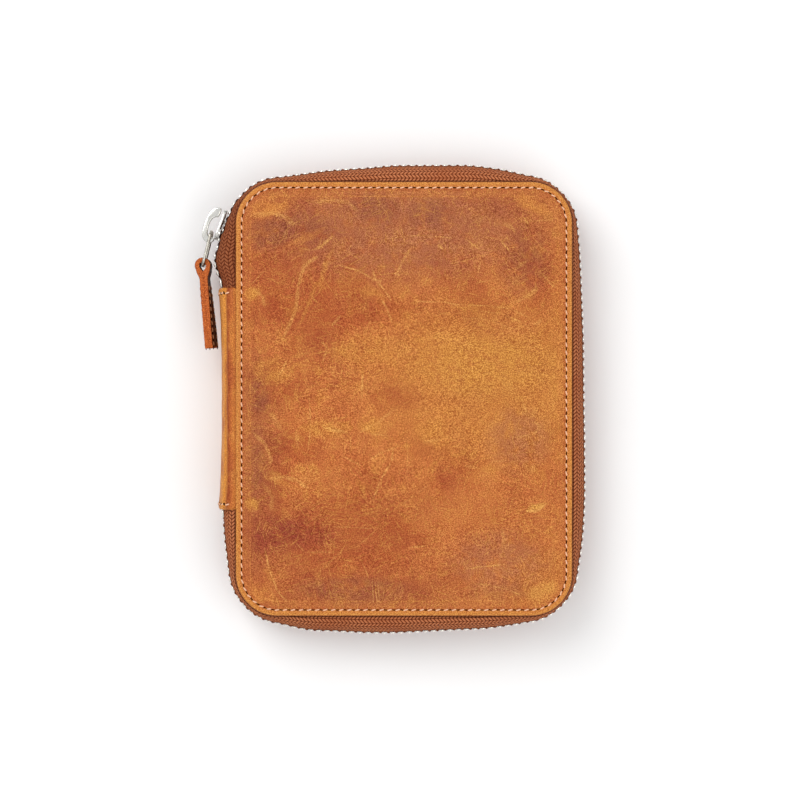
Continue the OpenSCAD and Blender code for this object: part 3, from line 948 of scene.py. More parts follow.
def cover_height(inset, points, domed, seed):
    """Height of a cover's outer face over its flat plane."""
    height = np.interp(inset, COVER_PROFILE[:, 0], COVER_PROFILE[:, 1])
    inner = np.clip((inset - 2.8) / 6.0, 0, 1)
    flat = level_ring(points, 0.0)
    height = height + inner * 0.10 * wobble(flat, 26.0, seed) + inner * 0.035 * wobble(flat, 5.5, seed + 7)
    if domed:
        x, y = points[:, 0] / HALF_W, points[:, 1] / HALF_L
        height = height + inner * DOME * np.sqrt(np.clip((1 - x * x) * (1 - y * y), 0, 1))
        for end in (-1, 1):
            from_end = np.abs(points[:, 1] - end * (SPINE_HALF - 2.5)) / 3.6
            from_side = np.abs(points[:, 0] + HALF_W - 5.4) / 3.0
            bump = np.clip(1 - from_end**2, 0, 1) * np.clip(1 - from_side**2, 0, 1)
            height = height + 0.32 * bump
    return height


def cover_shape(front):
    insets = np.concatenate([COVER_PROFILE[:, 0], np.arange(8.2, HALF_W - 1.0, 1.2)])
    rings, inset_values = [], []
    for inset, height in UNDER_PROFILE:
        ring = plate_ring(HALF_W, HALF_L, CORNER_R, inset)
        rings.append(level_ring(ring, height - LEATHER_T))
        inset_values.append(np.zeros(len(ring)))
    for inset in insets:
        ring = plate_ring(HALF_W, HALF_L, CORNER_R, inset)
        height = cover_height(np.full(len(ring), inset), ring, front, 3.0 if front else 11.0)
        if not front:
            height = np.minimum(height, 0.0)
        rings.append(level_ring(ring, height))
        inset_values.append(np.full(len(ring), inset))
    points, quads, caps = loft(rings)
    points = points + [0, 0, CASE_T] if front else points * [1, 1, -1]
    return (points, quads, caps), np.concatenate(inset_values)


def outline_seam(half_w, half_l, radius, inset, z, up):
    """Points, directions and up vectors of stitches round a rounded rectangle, clockwise from above."""
    path = plate_ring(half_w, half_l, radius, inset)[::-1]
    point, along = walk(path, STITCH_PITCH)
    return level_ring(point, z), level_ring(along, 0.0), np.tile([0.0, 0.0, up], (len(point), 1))


# Worn leather by place: zones and patches (middle, half sizes, turn, tone, share), creases (middle, half
# sizes, turn) and scuffs (half width, strength, points)
FRONT_ZONES = [
    (-6, 84, 110, 52, 0, TAN_PLUM, 0.30), (-46, 52, 46, 34, 0, TAN_RED, 0.36),
    (10, 76, 60, 22, 0, TAN_DUSK, 0.20), (36, 6, 66, 44, -4, TAN_GOLD, 0.56),
    (-6, -2, 50, 34, 0, TAN_LIGHT, 0.30), (-68, -22, 22, 60, 0, TAN_PLUM, 0.40),
    (-62, -58, 46, 24, 0, TAN_WINE, 0.42), (-18, -60, 46, 22, 0, TAN_RED, 0.40),
    (-10, -84, 66, 18, 0, TAN_PLUM, 0.25), (46, -62, 50, 40, 0, TAN_LIGHT, 0.40),
    (60, -78, 24, 20, 0, TAN_GOLD, 0.30),
]
FRONT_PATCHES = [
    (-2, 68, 66, 25, 0, TAN_DUSK, 0.70), (49, 56, 14, 20, 0, TAN_PLUM, 0.45),
    (-55, 67.5, 12, 9, 20, TAN_PLUM, 0.70), (-40, 70, 16, 8, -10, TAN_PLUM, 0.45),
    (-12, 78, 12, 8, 0, TAN_PLUM, 0.60), (11, 76, 12, 8, 0, TAN_PLUM, 0.55),
    (-25, 36, 24, 11, 8, TAN_RED, 0.65), (-40, 22, 14, 12, 0, TAN_RED, 0.35),
    (32, 14, 36, 16, 3, TAN_GOLD, 0.90), (-14, 20, 22, 8, 0, TAN_GOLD, 0.45),
    (44, 30, 18, 8, 10, TAN_LIGHT, 0.50), (-54, 11, 9, 7, 0, TAN_GOLD, 0.60),
    (-60, 0, 6, 9, 0, TAN_PLUM, 0.60), (-61, -24, 6, 20, 0, TAN_PLUM, 0.45),
    (-5, 1, 16, 8, -8, TAN_RED, 0.60), (-32, -12, 12, 5, 0, TAN_GOLD, 0.60),
    (-13, -11, 8, 5, 0, TAN_GOLD, 0.75), (11, -13, 9, 7, 30, TAN_GOLD, 0.50),
    (47, -17, 17, 17, 0, TAN_DUSK, 0.60), (-8, -40, 34, 16, 0, TAN_RED, 0.40),
    (-54, -56, 16, 10, 6, TAN_WINE, 0.90), (-38, -56, 18, 8, 0, TAN_WINE, 0.50),
    (-9, -61, 26, 12, 0, TAN_RED, 0.75), (38, -66, 26, 15, 0, TAN_DUSK, 0.65),
    (-20, -79, 30, 8, 0, TAN_PLUM, 0.55), (40, -79, 20, 6, 0, TAN_PLUM, 0.35),
    (-54, 79, 12, 5, 22, TAN_EDGE, 0.85), (-41, 66, 12, 2.0, 28, TAN_EDGE, 0.55),
    (53, 79, 10, 4.5, -20, TAN_EDGE, 0.85), (57, -79, 8, 5, 25, TAN_YELLOW, 0.75),
    (-58, -80, 9, 5, -25, TAN_EDGE, 0.60), (54, -44.5, 4.4, 1.6, 20, TAN_YELLOW, 1.00),
    (-50, -34, 11, 1.8, -16, TAN_EDGE, 0.60), (-62.5, 43, 4.4, 4.0, 0, TAN_GOLD, 0.90),
    (-62.5, -43, 4.4, 3.6, 0, TAN_GOLD, 0.90), (-36, 46, 22, 1.4, 66, TAN_GOLD, 0.50),
    (-14, 44, 9, 4, -35, TAN_GOLD, 0.45), (62, 20, 3.5, 40, 0, TAN_GOLD, 0.35),
]
FRONT_CREASES = [(30, 18, 52, 26, -6), (-30, 14, 34, 16, 0), (52, -50, 26, 14, 0), (-20, -44, 44, 12, 0)]
FRONT_STROKES = [
    (1.5, 0.55, [(-62, 75), (-54, 76.4), (-48.8, 74.4), (-45.2, 71.3)]),
    (0.6, 0.4, [(-47.8, 69.7), (-51.4, 63.1)]), (0.5, 0.5, [(-43.2, 62.1), (-38, 61), (-33.4, 62.6)]),
    (0.9, 0.75, [(-36, 61.4), (-33.4, 62.8), (-29.3, 66.2)]),
    (1.1, 0.65, [(-35.5, 58), (-39.6, 55.9), (-42.2, 51.3), (-43.2, 46.2), (-44.5, 35.9), (-49.3, 25.6)]),
    (0.6, 0.9, [(-47.8, 15.9), (-51.4, 9.7)]), (0.4, 0.5, [(-62.7, 46.7), (-57, 52.8)]),
    (1.0, 0.5, [(-61.6, 45.1), (-58, 42), (-57, 38.5)]),
    (0.5, 0.75, [(-26.3, 54.4), (-18, 52.3), (-12.9, 49.2), (-8.8, 48.2)]),
    (0.5, 0.8, [(-12.9, 53.3), (-11.4, 48.7), (-7.8, 44.1), (-5.2, 40)]),
    (0.55, 0.8, [(-9.3, 40.5), (-6.8, 36.9), (-5, 31.3)]), (0.8, 0.65, [(-17, 11.3), (-17.3, -0.5)]),
    (0.35, 0.55, [(-5.7, 65.6), (0.4, 66.7), (11.7, 66.7), (20.4, 65.8)]),
    (0.7, 0.55, [(-3.2, 51.3), (-0.6, 56.4), (2.5, 61)]), (0.9, 0.85, [(14.4, 62.8), (15.4, 61.8)]),
    (0.7, 0.8, [(-4, 51.6), (-2, 50.8)]), (0.45, 0.8, [(25.5, 65.6), (31.2, 61)]),
    (0.35, 0.5, [(31.2, 61), (36.8, 60.3)]), (0.5, 1.0, [(39.9, 63.8), (43.5, 60.3)]),
    (0.4, 0.7, [(39.9, 63.8), (42.3, 66.2)]), (0.6, 1.0, [(49.4, 73.8), (50.9, 71.4)]),
    (0.35, 0.5, [(50.7, 72.6), (62, 73.3)]), (0.35, 0.55, [(18.9, 55.4), (23, 56.4), (30.2, 57.9)]),
    (0.4, 0.55, [(31.7, 56.9), (30.2, 51.8)]), (0.35, 0.55, [(28.6, 47.2), (35.6, 48.7)]),
    (0.4, 0.5, [(8.6, 46.7), (10.7, 52.3)]),
    (0.4, 0.65, [(4.5, 40), (14.8, 39.7), (25, 38.5), (35.3, 38), (43.5, 36.9), (50.7, 33.3)]),
    (0.35, 0.45, [(30, 36), (40, 34.8), (48, 31), (54, 27)]), (0.35, 0.4, [(22, 33.5), (36, 32), (46, 28)]),
    (0.6, 0.6, [(56.3, 51.3), (58.9, 48.2), (62.5, 45.6)]),
    (1.2, 0.4, [(45.5, 39.5), (50.7, 42.1), (54.8, 45.6)]), (1.2, 0.5, [(53.8, 30.6), (56, 32)]),
    (1.0, 0.4, [(45.5, 53.3), (50.2, 56.4)]), (0.9, 0.6, [(-29.3, 30.3), (-26.3, 33.8)]),
    (0.6, 0.5, [(-34, 23.6), (-31.4, 21), (-33.4, 15.4)]), (1.2, 0.4, [(41.4, 71.8), (45.5, 69.2)]),
    (1.0, 0.45, [(-36, 80.5), (-28.3, 81.5), (-22.2, 80), (-19, 77)]),
    (0.4, 0.65, [(-38.6, -2), (-38.3, -11.3), (-39.4, -21.5)]),
    (0.9, 0.45, [(-44.2, -13.3), (-43.5, -19.5)]),
    (1.1, 0.6, [(-61.1, -14.4), (-57, -18.5), (-54.5, -23.6), (-54.8, -26.7)]),
    (1.6, 0.45, [(-54, -6.7), (-50.4, -12.3)]),
    (1.2, 0.65, [(-55, -32.8), (-48.8, -32), (-43.7, -33.3), (-39.6, -36.4)]),
    (1.2, 0.4, [(-57.5, -34.9), (-54, -40), (-54.5, -45.1)]), (1.1, 0.75, [(-32.4, -11.8), (-24.2, -13.8)]),
    (0.8, 0.6, [(-18, -13.8), (-11.9, -10.3), (-4.7, -4.9)]), (0.4, 0.55, [(-14, -14.2), (-5.7, -15.2)]),
    (0.5, 0.7, [(-14, -25.1), (-8.8, -22), (-1.6, -19)]),
    (0.6, 0.75, [(-4.5, -20.5), (-5.2, -25.6), (-9.8, -33.8), (-12.9, -41.2)]),
    (0.6, 0.6, [(-24.7, -23.6), (-18, -27.2)]), (0.35, 0.5, [(-21.6, -14.4), (-22.2, -22.6)]),
    (0.35, 0.5, [(-1.6, -44.1), (4.5, -39), (10.7, -34.9)]), (0.3, 0.45, [(1.2, -12.3), (1.4, -34.4)]),
    (0.8, 0.4, [(7.6, -18), (14.8, -16.4)]),
    (0.8, 0.45, [(45.5, -15.9), (52.7, -14.9), (55.8, -11.8), (53.7, -9.7)]),
    (0.6, 0.5, [(48.6, -1), (50.7, -6.2)]), (0.9, 1.0, [(50.7, -46.2), (54.8, -46)]),
    (0.7, 0.9, [(54.4, -46), (58, -43.1)]), (0.35, 0.5, [(-29.3, -52.3), (-21.1, -52.5), (-11.9, -53.6)]),
    (0.35, 0.5, [(-19, -60.5), (-11.9, -54.4)]),
    (0.5, 0.85, [(-57, -61.5), (-55.5, -69.7), (-51.4, -79.5), (-48.3, -83)]),
    (0.4, 0.4, [(-40.6, -63.1), (-27.3, -62.8)]), (0.35, 0.5, [(-44.2, -59), (-40.6, -62.6)]),
    (0.4, 0.6, [(-17, -67.7), (-14.5, -72.8)]), (0.35, 0.7, [(-12.9, -74.4), (-12.4, -83.6)]),
    (0.35, 0.7, [(-11.6, -75), (-11, -84)]), (0.35, 0.6, [(-10.5, -74.4), (-10.1, -83)]),
    (0.5, 0.85, [(26, -69.5), (33.2, -68.7), (40.9, -67.7)]),
    (0.6, 0.5, [(29.1, -75.9), (36.3, -76.4), (43.5, -78.5), (47.6, -80.5)]),
    (1.0, 0.4, [(39.9, -53.3), (41.4, -60.5)]), (0.6, 0.6, [(2.5, -61), (8.6, -60.5)]),
    (0.5, 0.4, [(-34.5, -70.8), (-24.2, -61.5)]), (0.9, 0.4, [(25, -27.7), (30.2, -28.2)]),
    (0.6, 0.4, [(35.3, -26.2), (41.4, -25.1)]),
]
BACK_ZONES = [
    (30, 60, 60, 40, 0, TAN_RED, 0.5), (-34, -44, 60, 50, 30, TAN_GOLD, 0.5),
    (50, -60, 50, 34, 0, TAN_PLUM, 0.4),
]
BACK_PATCHES = [
    (30, 50, 26, 18, 0, TAN_RED, 0.5), (-30, -40, 24, 20, 30, TAN_LIGHT, 0.5),
    (0, 10, 34, 16, -20, TAN_PLUM, 0.45), (56, -78, 10, 6, 20, TAN_EDGE, 0.8),
    (-56, 78, 10, 6, 20, TAN_EDGE, 0.8),
]
BACK_CREASES = [(-10, -30, 50, 30, 10), (40, 50, 30, 16, 0)]
BACK_STROKES = [
    (0.5, 0.6, [(-40, 50), (-30, 38), (-20, 20)]), (0.4, 0.7, [(10, -10), (24, -18), (34, -22)]),
    (0.9, 0.5, [(30, 60), (38, 50), (40, 34)]), (0.4, 0.6, [(-12, -52), (4, -60)]),
]


def make_covers(thread, hole):
    for side in ("back", "front"):
        front = side == "front"
        shape, inset = cover_shape(front)
        marks = (FRONT_ZONES, FRONT_PATCHES, FRONT_CREASES, FRONT_STROKES)
        if not front:
            marks = (BACK_ZONES, BACK_PATCHES, BACK_CREASES, BACK_STROKES)
        material = cover_material(f"{side}_waxed_leather", 0.0 if front else 37.0, *marks)
        piece = build(f"{side}_cover", shape, material, "tan_leather", inset=inset)
        fixed(piece, side, f"{side}_leather")
        level = CASE_T - FRONT_SEAM_DEPTH if front else BACK_SEAM_DEPTH
        up = 1.0 if front else -1.0
        line = outline_seam(HALF_W, HALF_L, CORNER_R, STITCH_INSET, level, up)
        sewn(f"{side}_cover", *line, thread, hole, riding(side))


# ---------------------------------------------------------------- zip tapes and teeth

WEAVE_ROW, WEAVE_PITCH, WEAVE_RELIEF = 2.05, 1.55, 0.20
TAPE_STEP, ACROSS = 0.40, 46
BEAD_AT, BEAD_HALF, BEAD_PINCHED, BEAD_SWELL = 0.8, 1.1, 0.10, 0.80
TOOTH_BEVEL = 0.24


def weave_height(s, t):
    row = t / WEAVE_ROW
    sign = np.floor(np.mod(row, 2.0)) * 2 - 1
    across = row - np.floor(row)
    rib = np.abs(np.sin(np.pi * (s / WEAVE_PITCH + sign * across))) ** 0.6
    seam_share = np.interp(np.abs(across - 0.5), [0.36, 0.5], [1.0, 0.25])
    return WEAVE_RELIEF * rib * seam_share


def tape_line(s):
    """Middle line of the tape at each s: out from the edge, height, and distance from the toothed edge."""
    bulge, shift = bulge_at(s)[:, None], row_shift(s)[:, None]
    flange = np.broadcast_to(np.linspace(FLANGE_IN, BEND_START, 6)[:-1], (len(s), 5))
    turn = np.linspace(0, np.pi / 2, 40)[None, :]
    z0, edge_z = TAPE_TOP + TAPE_T / 2, TAPE_EDGE_Z - shift
    out = np.concatenate([flange, BEND_START + (bulge - BEND_START) * np.sin(turn), bulge], 1)
    height = np.concatenate([
        np.full((len(s), 5), z0), edge_z - (edge_z - z0) * np.cos(turn), edge_z + BEAD_DROP
    ], 1)
    step = np.hypot(np.diff(out, axis=1), np.diff(height, axis=1))
    along = np.concatenate([np.zeros((len(s), 1)), np.cumsum(step, 1)], 1)
    share = np.linspace(0, 1, ACROSS)
    even = [[np.interp(share * a[-1], a, row) for a, row in zip(along, rows)] for rows in (out, height)]
    left = along[:, -1:] * (1 - share)
    return np.array(even[0]), np.array(even[1]), left


def tape_shape(start, end, first_tooth):
    count = max(2, int(round((end - start) / TAPE_STEP)))
    s = np.linspace(start, end, count + 1)
    out, height, left = tape_line(s)
    d_out, d_height = np.gradient(out, axis=1), np.gradient(height, axis=1)
    size = np.hypot(d_out, d_height)
    n_out, n_height = -(-d_height / size), -(d_out / size)
    relief = weave_height(s[:, None], left)
    between_teeth = (0.5 - 0.5 * np.cos(2 * np.pi * (s[:, None] - first_tooth) / TOOTH_PITCH)) ** 1.4
    swell = BEAD_PINCHED + BEAD_SWELL * between_teeth
    bead = np.clip(1 - ((left - BEAD_AT) / BEAD_HALF) ** 2, 0, 1) ** 0.6 * swell
    end_round = np.sqrt(np.clip(left / 0.4, 0.05, 1))
    half = (TAPE_T / 2 - 0.06 + bead) * end_round
    faces_out = []
    for sign, extra in ((1, relief), (-1, relief * 0.6)):
        offset = sign * (half + extra * end_round)
        faces_out.append((out + n_out * offset, height + n_height * offset))
    inner = [side[:, ::-1][:, ::2] for side in faces_out[1]]
    ring_out = np.concatenate([faces_out[0][0], inner[0]], 1)
    ring_z = np.concatenate([faces_out[0][1], inner[1]], 1)
    ring_t = np.concatenate([left, left[:, ::-1][:, ::2]], 1)
    point, normal = edge_at(s)
    rings = np.concatenate([
        point[:, None, :] + ring_out[:, :, None] * normal[:, None, :], ring_z[:, :, None]
    ], 2)
    cloth = np.stack([np.broadcast_to(s[:, None], ring_t.shape), ring_t], -1).reshape(-1, 2)
    return loft(rings), cloth, ring_out.reshape(-1)


TOOTH_PROFILE = np.array([
    (-1.50, 0.38), (-1.22, 0.02), (-0.68, 0.0), (-0.54, 0.2), (-0.54, 1.7), (0.54, 1.7), (0.54, 0.2),
    (0.68, 0.0), (1.22, 0.02), (1.50, 0.38), (1.62, 1.1), (1.50, 1.9), (1.05, 2.6), (0.84, 3.2),
    (0.78, 3.7), (0.45, 4.05), (-0.45, 4.05), (-0.78, 3.7), (-0.84, 3.2), (-1.05, 2.6), (-1.50, 1.9),
    (-1.62, 1.1)
])


def tooth_shape(length):
    """A tooth with two legs and a head: x out from the chain, y along it, z from legs to tip."""
    points, quads, caps = prism(TOOTH_PROFILE, length, TOOTH_BEVEL)
    return points[:, [0, 2, 1]] - [0, length / 2, 0], quads, caps


def teeth_shape(first, last, offset):
    """The teeth of one row whose middles lie between two distances along the zip."""
    count = int((ZIP_LENGTH - 2 * STOP_LEN - 2 * TOOTH_LEN) // TOOTH_PITCH)
    middles = STOP_LEN + TOOTH_LEN + offset + TOOTH_PITCH * np.arange(count)
    stops = np.array([STOP_LEN / 2 + 0.1, ZIP_LENGTH - STOP_LEN / 2 - 0.1])
    shapes = []
    for places, length in ((middles, TOOTH_LEN), (stops, STOP_LEN)):
        s = places[(places >= first) & (places < last)]
        if not len(s):
            continue
        centre = chain_at(s)
        ahead = unit(chain_at(s + 0.5) - chain_at(s - 0.5))
        out = left_of(ahead)
        low = MID_Z - TOOTH_REACH - TIP_GAP - row_shift(s)
        up = np.tile([0.0, 0.0, 1.0], (len(s), 1))
        shapes.append(scattered(
            tooth_shape(length), level_ring(centre, low), level_ring(out, 0.0), level_ring(ahead, 0.0), up
        ))
    return merged(*shapes)


# Lines at the ends of the tapes beside the spine, from the cover to the strip
BEND_FROM = np.array([-75.0, 75.0, 17.0])
BEND_BY = np.array([0.0, -5.481, 11.354])


def at_corner(points, front, end):
    """Points at the back's upper left corner, moved to either cover's upper (end 1) or lower (end -1) one."""
    moved = np.array(points) * [1, end, 1]
    if front:
        moved[:, 2] = CASE_T - moved[:, 2]
    return moved * MM


def bend_line(front, end):
    """Start and end of the tape's bend at a left corner."""
    return at_corner([BEND_FROM, BEND_FROM + BEND_BY], front, end)


def teeth_bend_line(front, end, drop):
    """A line along y at the height of the tape's toothed edge after the given drop, through its bend at a
    corner.
    """
    run = float(BEND_BY @ BEND_BY) / BEND_BY[1]
    height = TAPE_EDGE_Z - drop
    start = BEND_FROM + [0.0, (BEND_FROM[2] - height) * BEND_BY[2] / BEND_BY[1], height - BEND_FROM[2]]
    return at_corner([start, start + [0.0, run, 0.0]], front, end)


def mirrored(shape, front):
    points, quads, caps = shape
    return (points * [1, 1, -1] + [0, 0, CASE_T] if front else points), quads, caps


def make_zip(tape, metal):
    # Each stretch of tape: its start and end, and its teeth by label, start, end and drop at the bend
    stretches = {
        "left_top": (-TUCK, LEFT_TOP_END, [
            ("parted", -TUCK, OPEN_END, OPEN_SHIFT), ("joined", OPEN_END, LEFT_TOP_END, 0.8)
        ]),
        "round": (LEFT_TOP_END, LEFT_LOW_START, [("joined", LEFT_TOP_END, LEFT_LOW_START, 0.0)]),
        "left_low": (LEFT_LOW_START, ZIP_LENGTH + TUCK, [
            ("joined", LEFT_LOW_START, ZIP_LENGTH + TUCK, 0.3)
        ])
    }
    for side in ("back", "front"):
        front = side == "front"
        offset = TOOTH_PITCH / 2 if front else 0.0
        for section, (start, end, rows) in stretches.items():
            corner = 1 if section == "left_top" else -1

            def attach(piece, line, node):
                if section == "round":
                    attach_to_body(piece, side)
                else:
                    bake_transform(piece)
                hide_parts(node)

            # beside: how far each tape point stands out from the cover's edge, used for the cover's painted
            # shadow on the tape
            shape, cloth, beside = tape_shape(start, end, STOP_LEN + TOOTH_LEN + offset)
            shape = mirrored(shape, front)
            made = build(f"{side}_tape_{section}", shape, tape, "zip_tape", cloth=cloth, beside=beside)
            attach(made, bend_line(front, corner), f"{side}_zip_tape")
            for label, first, last, drop in rows:
                row = mirrored(teeth_shape(first, last, offset), front)
                piece = build(f"{side}_teeth_{section}_{label}", row, metal, "zip_metal")
                attach(piece, teeth_bend_line(front, corner, drop), f"{side}_zip_teeth")


# ---------------------------------------------------------------- spine strip

# The strip: points along half its bow, how far it bows out, how much more at its ends, and its thickness
BOW_STEPS, SPINE_BOW_MIDDLE, SPINE_FLARE, SPINE_T = 26, 6.2, 1.4, 1.4
TAIL_STEPS = (1.0, 0.66, 0.33)


def bow_point(y, angle, depth):
    """Point across the strip, from the back cover (angle 0) to the front one (pi), depth under its face."""
    bow = SPINE_BOW_MIDDLE + SPINE_FLARE * (np.abs(y) / SPINE_HALF) ** 3 - depth
    low = LEATHER_T + 0.1 + depth
    x = -HALF_W - 0.5 - bow * np.sin(angle) ** 0.75
    z = MID_Z - (MID_Z - low) * np.cos(angle)
    return x, z


def spine_shape(front, depth, thickness, half_length, tail, reach_in):
    """Half of a bowed strip, from under one cover to the middle, with soft creases along it."""
    count = int(half_length * 2 / 0.9)
    ys = np.linspace(-half_length, half_length, count + 1)
    angles = np.linspace(0, np.pi / 2, BOW_STEPS)
    rings = []
    for y in ys:
        edge = min(half_length - abs(y), 1.0)
        pull = 0.5 * (1 - math.sqrt(max(edge * (2 - edge), 0)))
        faces = []
        for d in (depth + pull, depth + thickness - pull):
            x, z = bow_point(y, np.maximum(angles, 1e-4), d)
            level = tail[0] + (d - depth) * tail[1]
            faces.append([(-HALF_W + reach_in * k, level) for k in TAIL_STEPS] + list(zip(x, z)))
        rings.append([(x, y, z) for x, z in faces[0] + faces[1][::-1]])
    rings = np.array(rings)
    uneven = wobble(rings.reshape(-1, 3), 7.0, 2.0 + 5 * depth).reshape(rings.shape[:2])
    bowed = slice(len(TAIL_STEPS), len(TAIL_STEPS) + BOW_STEPS)
    crease = 0.16 * np.sin(angles * 21 + 0.6) * np.exp(-((angles - 0.55) / 0.35) ** 2)
    lift = np.zeros(rings.shape[:2])
    lift[:, bowed] = crease + 0.10 * uneven[:, bowed]
    centre = np.array([-HALF_W + 4.0, 0, MID_Z])
    away = unit((rings - centre) * [1, 0, 1])
    rings = rings + away * lift[:, :, None]
    return mirrored(loft(rings), front)


def make_spine(leather, suede, thread, hole):
    for side in ("back", "front"):
        front = side == "front"

        def bent(piece):
            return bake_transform(piece)

        strip_shape = spine_shape(front, 0.0, SPINE_T, SPINE_HALF, (LEATHER_T + 0.06, 0.65), STRIP_TAIL)
        # across runs from the cover (0) to the bow's middle (1); the spine material paints the bow's light
        # and shade by it
        line = np.concatenate([np.zeros(len(TAIL_STEPS)), np.linspace(0, 1, BOW_STEPS)])
        across = np.tile(np.concatenate([line, line[::-1]]), len(strip_shape[0]) // (2 * len(line)))
        strip = build(f"spine_strip_{side}_half", strip_shape, leather, "spine_leather", across=across)
        bent(strip)
        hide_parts("spine_leather")
        shape = spine_shape(front, SPINE_T + 0.06, 0.6, SPINE_HALF - 5.0, (LEATHER_T + 1.9, 0.6), 2.0)
        lining = build(f"spine_lining_{side}_half", shape, suede, "spine_suede")
        bent(lining)
        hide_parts("spine_lining")
        for end_name, end_sign in (("top", 1), ("low", -1)):
            y = end_sign * (SPINE_HALF - 2.2)
            x, z = bow_point(y, np.linspace(0.12, np.pi / 2, 40), -0.02)
            point, along = walk(np.column_stack([x, z]), STITCH_PITCH, closed=False)
            if front:
                point[:, 1] = CASE_T - point[:, 1]
                along[:, 1] = -along[:, 1]
            points, along = np.insert(point, 1, y, axis=1), np.insert(along, 1, 0.0, axis=1)
            up = np.cross(along, [0.0, 1.0, 0.0])
            up = up * -np.sign(up[:, 0:1] + 1e-9)
            sewn(f"spine_{end_name}_{side}", points, along, up, thread, hole, bent)


# ---------------------------------------------------------------- slider, link and pull


def slider_axes():
    """Origin and axes of the slider: along the chain to its mouths, out from the case, and up."""
    ahead = chain_at([SLIDER_S - 6.0])[0] - chain_at([SLIDER_S + 6.0])[0]
    ahead = ahead / np.linalg.norm(ahead)
    origin = np.append(chain_at([SLIDER_S])[0], MID_Z)
    along = np.array([ahead[0], ahead[1], 0.0])
    out = np.array([ahead[1], -ahead[0], 0.0])
    return origin, along, out, np.array([0.0, 0.0, 1.0])


SLIDER_L, SLIDER_W, SLIDER_TAIL_W = 13.6, 12.4, 9.6
HOOK = [
    (-6.7, 1.4), (-6.8, 2.9), (-6.1, 4.3), (-4.6, 5.5), (-2.4, 6.2), (0.8, 6.4), (3.8, 6.3), (6.2, 5.8),
    (8.0, 4.6), (8.8, 3.0), (8.6, 1.2), (7.2, 0), (6.0, 0), (6.1, 1.4), (5.8, 2.9), (4.9, 3.7), (3.5, 4.0),
    (1.6, 4.2), (0, 4.1), (-1.5, 3.7), (-2.4, 2.9), (-2.8, 1.5)
]
HOOK_W = 3.2
POST_R, POST_FROM_END = 1.1, 2.6


def make_slider(metal):
    origin, along, out, up = slider_axes()
    l, w, tail = SLIDER_L / 2, SLIDER_W / 2, SLIDER_TAIL_W / 2
    outline = [
        (-l, -tail + 1.2), (-l + 1.2, -tail), (l - 5, -w), (l - 1.5, -w), (l, -w + 2), (l - 1, 0),
        (l, w - 2), (l - 1.5, w), (l - 5, w), (-l + 1.2, tail), (-l, tail - 1.2)
    ]
    plate = prism(rounded_outline(outline, 2), PLATE_T, 0.35, 4)
    shapes = []
    for level in (CHANNEL_H / 2, -CHANNEL_H / 2 - PLATE_T):
        shapes.append(placed(plate, origin + out * level, along, up, out))
    lip = prism([(l - 5, -0.45), (l - 1.5, -0.45), (l - 1.5, 0.45), (l - 5, 0.45)], 0.9, 0.15, 2)
    for level in (-1, 1):
        for side in (-1, 1):
            start = origin + out * (side * (CHANNEL_H / 2 + 0.1)) + up * (level * (w - 0.45))
            shapes.append(placed(lip, start, along, up, -side * out))
    circle = POST_R * directions(np.radians(np.arange(0, 360, 15)))
    post = prism(circle + [l - POST_FROM_END, 0], CHANNEL_H + 0.4, 0.05, 1)
    shapes.append(placed(post, origin - out * (CHANNEL_H / 2 + 0.2), along, up, out))
    fixed(build("zip_slider_body", merged(*shapes), metal, "slider_metal"), "slider", "slider_body")

    hook = prism(rounded_outline(HOOK, 2), HOOK_W, 0.5, 4)
    start = origin + out * (CHANNEL_H / 2 + PLATE_T - 0.05) - up * HOOK_W / 2
    bridge = build("zip_slider_hook", placed(hook, start, along, out, up), metal, "slider_metal")
    fixed(bridge, "slider", "slider_bridge")


def link_axes():
    origin, along, out, up = slider_axes()
    start = origin + along * BAR_U + out * (CHANNEL_H / 2 + PLATE_T + BAR_V)
    down = math.cos(LINK_LEAN) * along + math.sin(LINK_LEAN) * out
    side = -math.sin(LINK_LEAN) * along + math.cos(LINK_LEAN) * out
    return start, down, side, up


def make_link(metal):
    start, down, side, up = link_axes()
    path = rounded_rect(LINK_L / 2, (LINK_GAP + BAR_T) / 2, 2.0, 10, (16, 12)) + [LINK_L / 2, 0]
    tangent = unit(np.roll(path, -1, 0) - np.roll(path, 1, 0))
    normal = np.stack([tangent[:, 1], -tangent[:, 0]], 1)
    rings = []
    for point, n in zip(path, normal):
        ring = []
        for a in np.radians(np.arange(0, 360, 30)):
            c, s = math.cos(a), math.sin(a)
            reach = BAR_T / 2 / (abs(c) ** 3 + abs(s) ** 3) ** (1 / 3)
            ring.append((point[0] + n[0] * reach * c, reach * s, point[1] + n[1] * reach * c))
        rings.append(ring)
    link = build("pull_link", placed(loft(rings, closed=True), start, down, side, up), metal, "slider_metal")
    fixed(link, "link", "puller_link")


# The folded strip's two faces: distance from its middle, where the neck starts, and the loop's radius and
# the angle at which it meets the neck
TAB_OUTER, TAB_INNER = (TAB_PLY, 6.0, 3.3, 62), (0.015, 2.8, 1.43, 56)


def tab_line(ply, neck_u, radius, meet_deg):
    """One face of the folded strip: up one side of the tab, round the link bar, and down the other side."""
    meet = math.radians(meet_deg)
    edge = radius * np.array([math.cos(meet), -math.sin(meet)])
    u = np.linspace(TAB_L - 0.1, neck_u, 34)
    straight = np.column_stack([u, np.full(len(u), -ply)])
    share = np.linspace(0, 1, 14)[1:-1, None]
    neck = np.hstack([neck_u + (edge[0] - neck_u) * share, -ply + (edge[1] + ply) * ease(share)])
    loop = radius * directions(np.linspace(-meet, -2 * np.pi + meet, 26))
    half = np.vstack([straight, neck])
    return np.vstack([half, loop, half[::-1] * [1, -1]])


